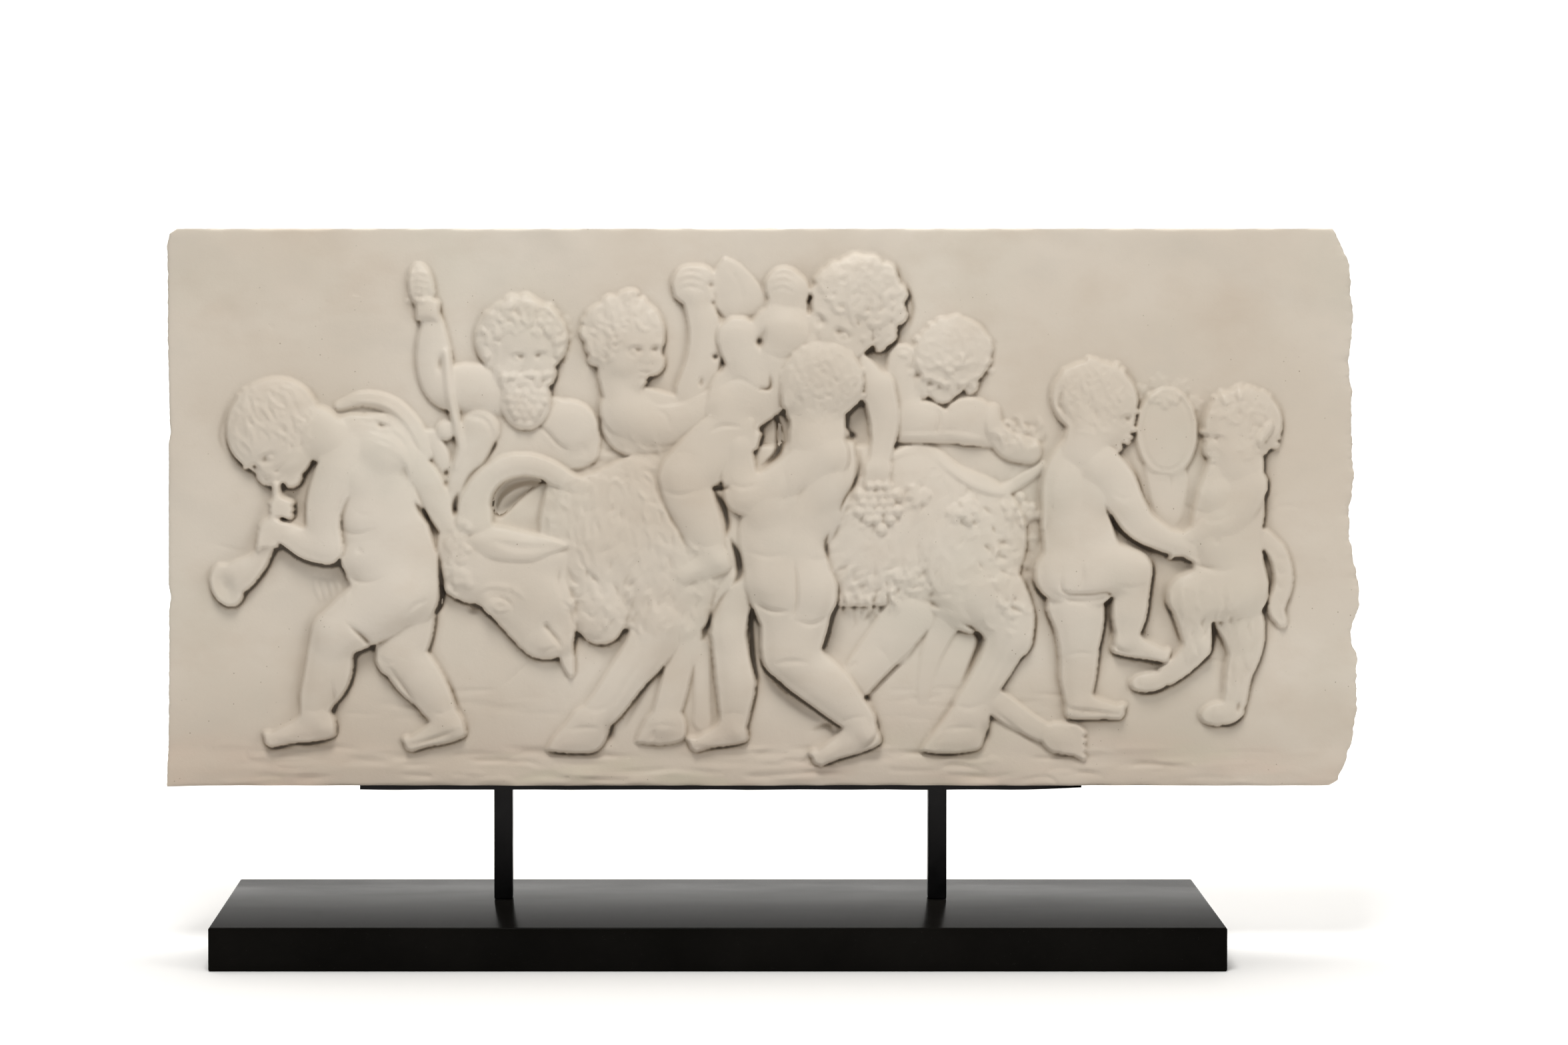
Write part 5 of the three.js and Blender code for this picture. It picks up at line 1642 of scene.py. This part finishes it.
class PLAQUE_OT_panel(bpy.types.Operator):
    """Carve the marble panel with its relief and broken end"""

    bl_idname = "plaque.panel"
    bl_label = "Marble Panel"

    def execute(self, context):
        s = context.scene.plaque_relief
        height, hollow, ridge = carve(s.carving_step, s.depth)
        nx = int(PANEL_WIDE / s.mesh_step) + 1
        ny = int(PANEL_TALL / s.mesh_step) + 1
        deselect()
        bpy.ops.mesh.primitive_grid_add(x_subdivisions=nx - 1, y_subdivisions=ny - 1, size=1)
        obj = bpy.context.object
        obj.name = "carved_marble_panel"
        flat = points_of(obj)
        share = flat[:, 0] + 0.5
        v = (flat[:, 1] + 0.5) * PANEL_TALL
        left, right = panel_edges(v)
        u = left + (right - left) * share
        h = sample(height, s.carving_step, u, v)
        rim = np.minimum(np.minimum(u - left, v), PANEL_TALL - v)
        uneven = 0.7 + 0.5 * np.sin(u / 7.0) * np.sin(v / 5.0 + u / 11.0)
        h -= EDGE_WEAR * np.exp(-rim / EDGE_REACH) * uneven
        crumble = 1.4 + 0.9 * ripple(v, 21, 4, 30.0)
        h -= np.clip(crumble, 0.2, 3) * np.exp(-(right - u) / (1.1 + 0.6 * np.clip(crumble, 0, 3)))
        place = np.stack([PANEL_LEFT + u, FIELD_FACE - h, PANEL_FOOT + v], 1)
        put_points(obj, place * MM)
        front = len(flat)
        rings = s.break_rings

        def deepen():
            for _ in range(rings):
                bpy.ops.mesh.extrude_edges_move(TRANSFORM_OT_translate={"value": (0, 0.001, 0)})

        edit(obj, open_edges, deepen)
        points = points_of(obj) / MM
        loop = (len(points) - front) // rings
        for k in range(rings):
            rows = slice(front + k * loop, front + (k + 1) * loop)
            ring = points[rows]
            x, z = ring[:, 0].copy(), ring[:, 2].copy()
            t = (k + 1) / rings
            start = ring[:, 1] - (k + 1)
            y = start + (PANEL_BACK - start) * t
            u, v = x - PANEL_LEFT, z - PANEL_FOOT
            left, right = panel_edges(v)
            on_right = np.abs(u - right) < SNAP
            on_left = np.abs(u - left) < SNAP
            rough = ripple(v + 31 * t, 40 + k // 2, 4, 26.0)
            swell = math.sin(math.pi * t)
            lean = 0.8 * ripple(v, 61, 3, 60.0) * t
            x += np.where(on_right, 0.9 * rough * swell + lean + 0.5 * swell, 0)
            x += np.where(on_left, -0.25 * rough * swell - 0.3 * swell, 0)
            edge = 0.35 * ripple(u + 17 * t, 80 + k // 3, 4, 24.0) * swell
            z += np.where(v > PANEL_TALL - 0.1, edge - 0.3 * t, 0)
            z += np.where(v < 0.1, np.abs(edge) * 0.5, 0)
            x += np.where(on_right & (t > 0.95), -0.7, 0) + np.where(on_left & (t > 0.95), 0.6, 0)
            points[rows] = np.stack([x, y, z], 1)
        put_points(obj, points * MM)

        def close_back():
            bpy.ops.mesh.edge_face_add()
            bpy.ops.mesh.select_all(action="SELECT")
            bpy.ops.mesh.quads_convert_to_tris(quad_method="BEAUTY", ngon_method="BEAUTY")
            bpy.ops.mesh.normals_make_consistent(inside=False)

        edit(obj, open_edges, close_back)
        apply_modifier(obj, "DECIMATE", ratio=s.triangles / len(obj.data.polygons))
        points = points_of(obj) / MM
        u, v = points[:, 0] - PANEL_LEFT, points[:, 2] - PANEL_FOOT
        face = points[:, 1] < FIELD_FACE + FACE_DEPTH
        # the crease mask of painted shade and dirt, and the ridge mask, are stored on the panel's
        # front
        for name, field in (("dirt_and_painted_shade", hollow), ("rubbed", ridge)):
            layer = obj.data.attributes.new(name, "FLOAT", "POINT")
            values = np.where(face, sample(field, s.carving_step, u, v), 0)
            layer.data.foreach_set("value", values.astype(np.float32))
        smooth_shade(obj, 60)
        finish_piece(obj, "marble_relief_panel", marble_material())
        return {"FINISHED"}


class PLAQUE_OT_mount(bpy.types.Operator):
    """Build the two square posts, their welds and the shelf bar"""

    bl_idname = "plaque.mount"
    bl_label = "Steel Mount"

    def execute(self, context):
        s = context.scene.plaque_mount
        steel = steel_material()
        top = PANEL_FOOT - GAP
        under = top - SHELF_THICK
        for node, centre in (("post_left", POST_X[0]), ("post_right", POST_X[1])):
            half = POST_SIDE / 2
            bar = box_piece(node + "_bar", (centre - half, POST_FRONT, BASE_SIZE[2] + STAND_OFF),
                            (centre + half, POST_FRONT + POST_SIDE, POST_TOP))
            apply_modifier(bar, "BEVEL", width=s.edge_round * MM, segments=3, limit_method="ANGLE")
            welds = []
            for k in range(5):
                deselect()
                x, y = centre + half - 1.2 + 0.25 * k, POST_FRONT + 1.5 + k * 1.7
                bpy.ops.mesh.primitive_uv_sphere_add(
                    segments=16, ring_count=10, radius=(1.9 - 0.12 * (k % 2)) * MM,
                    location=(x * MM, y * MM, (under - 1.3) * MM))
                bead = bpy.context.object
                bead.scale = (1.15, 0.9, 0.8)
                freeze(bead)
                welds.append(bead)
            choose(bar, *welds)
            bpy.ops.object.join()
            smooth_shade(bar, 40)
            finish_piece(bar, node, steel)
        shelf = box_piece("shelf_flat_bar", (SHELF_X[0], SHELF_Y[0], under),
                          (SHELF_X[1], SHELF_Y[1], top))
        edit(shelf, lambda: bpy.ops.mesh.select_all(action="SELECT"),
             lambda: bpy.ops.mesh.subdivide(number_cuts=40))
        points = points_of(shelf) / MM
        taper = np.clip((points[:, 0] - SHELF_X[1] + TAPER_LONG) / TAPER_LONG, 0, 1)
        lower = points[:, 2] < top - SHELF_THICK * 0.5
        points[:, 2] += np.where(lower, TAPER_RISE * taper, 0)
        points[:, 2] += np.where(lower, 0.12 * ripple(points[:, 0], 3, 3, 70.0), 0)
        put_points(shelf, points * MM)
        apply_modifier(shelf, "BEVEL", width=0.4 * MM, segments=2, limit_method="ANGLE")
        smooth_shade(shelf, 40)
        finish_piece(shelf, "shelf_bar", steel)
        return {"FINISHED"}


class PLAQUE_OT_base(bpy.types.Operator):
    """Build the polished black stone slab"""

    bl_idname = "plaque.base"
    bl_label = "Stone Base"

    def execute(self, context):
        s = context.scene.plaque_mount
        x, y, z = BASE_SIZE
        slab = box_piece("polished_base_slab", (-x / 2, -y / 2, 0), (x / 2, y / 2, z))
        apply_modifier(slab, "BEVEL", width=s.arris * MM, segments=4, limit_method="ANGLE")
        smooth_shade(slab, 40)
        finish_piece(slab, "base_slab", black_stone_material())
        return {"FINISHED"}


class PLAQUE_OT_stage(bpy.types.Operator):
    """Set up the floor, backdrop, lights and camera"""

    bl_idname = "plaque.stage"
    bl_label = "Studio"

    def execute(self, context):
        s = context.scene.plaque_stage
        deselect()
        bpy.ops.mesh.primitive_plane_add(size=1, location=(0, 0, 0))
        floor = bpy.context.object
        floor.name = "studio_sweep"
        floor.scale = (FLOOR_WIDE, FLOOR_DEEP, 1)
        floor.location = (0, FLOOR_MIDDLE, 0)
        freeze(floor)

        def raise_wall():
            bpy.ops.mesh.extrude_edges_move(TRANSFORM_OT_translate={"value": (0, 0, WALL_TALL)})

        edit(floor, no_edges)
        for edge in floor.data.edges:
            edge.select = all(floor.data.vertices[i].co.y > WALL_Y - 0.1 for i in edge.vertices)
        edit(floor, raise_wall)
        apply_modifier(floor, "BEVEL", width=SWEEP_RADIUS, segments=16, limit_method="ANGLE")
        smooth_shade(floor, 60)
        floor.data.materials.append(paper_material())

        world = bpy.data.worlds.new("surround")
        world.use_nodes = True
        surround = world.node_tree.nodes["Background"]
        surround.inputs[0].default_value = SKY_TINT
        surround.inputs[1].default_value = s.sky
        context.scene.world = world
        context.scene.view_settings.view_transform = "Standard"
        for name, place, size, power, aim in (
            ("key", (-0.14, -0.85, 1.85), 0.60, s.key_power * 0.81, (0, 0, 0.24)),
            ("right", (2.0, -1.3, 1.1), 0.9, s.key_power * 0.43, (0, 0, 0.24)),
            ("backdrop", (0, 1.2, 2.8), 3.0, s.key_power * 4.4, (0, 3.4, 0.6)),
        ):
            deselect()
            bpy.ops.object.light_add(type="AREA", location=place)
            lamp = bpy.context.object
            lamp.name = name + "_softbox"
            lamp.data.shape = "SQUARE"
            lamp.data.size = size
            lamp.data.energy = power
            lamp.data.color = LAMP_TINT
            way = [b - a for a, b in zip(place, aim)]
            flat = math.hypot(way[0], way[1])
            heading = math.atan2(way[1], way[0])
            lamp.rotation_euler = (math.atan2(flat, -way[2]), 0, heading - math.pi / 2)
        deselect()
        bpy.ops.object.camera_add(
            location=(CAMERA_X, -s.distance, s.eye_height), rotation=(math.pi / 2 - s.tilt, 0, 0))
        camera = bpy.context.object
        camera.name = "plaque_camera"
        camera.data.lens = s.lens
        camera.data.sensor_width = SENSOR_WIDE
        camera.data.shift_x, camera.data.shift_y = CAMERA_SHIFT
        context.scene.camera = camera
        return {"FINISHED"}


class PLAQUE_PT_sidebar(bpy.types.Panel):
    """Plaque controls"""

    bl_idname = "PLAQUE_PT_sidebar"
    bl_label = "Marble Relief Plaque"
    bl_space_type = "VIEW_3D"
    bl_region_type = "UI"
    bl_category = "Plaque"

    def draw(self, context):
        scene = context.scene
        for title, group, names, operators in (
            ("Panel", scene.plaque_relief,
             ("carving_step", "mesh_step", "depth", "triangles", "break_rings"),
             ("plaque.panel",)),
            ("Mount", scene.plaque_mount, ("edge_round", "arris"), ("plaque.mount", "plaque.base")),
            ("Studio", scene.plaque_stage,
             ("lens", "distance", "eye_height", "tilt", "key_power", "sky"),
             ("plaque.stage",)),
        ):
            box = self.layout.box()
            box.label(text=title)
            for name in names:
                box.prop(group, name)
            for name in operators:
                box.operator(name)


CLASSES = (
    ReliefSettings, MountSettings, StageSettings,
    PLAQUE_OT_panel, PLAQUE_OT_mount, PLAQUE_OT_base, PLAQUE_OT_stage,
    PLAQUE_PT_sidebar,
)


def register():
    for cls in CLASSES:
        bpy.utils.register_class(cls)
    bpy.types.Scene.plaque_relief = bpy.props.PointerProperty(type=ReliefSettings)
    bpy.types.Scene.plaque_mount = bpy.props.PointerProperty(type=MountSettings)
    bpy.types.Scene.plaque_stage = bpy.props.PointerProperty(type=StageSettings)


def unregister():
    del bpy.types.Scene.plaque_stage
    del bpy.types.Scene.plaque_mount
    del bpy.types.Scene.plaque_relief
    for cls in reversed(CLASSES):
        bpy.utils.unregister_class(cls)


def main():
    register()
    bpy.ops.plaque.panel()
    bpy.ops.plaque.mount()
    bpy.ops.plaque.base()
    bpy.ops.plaque.stage()


if __name__ == "__main__":
    main()
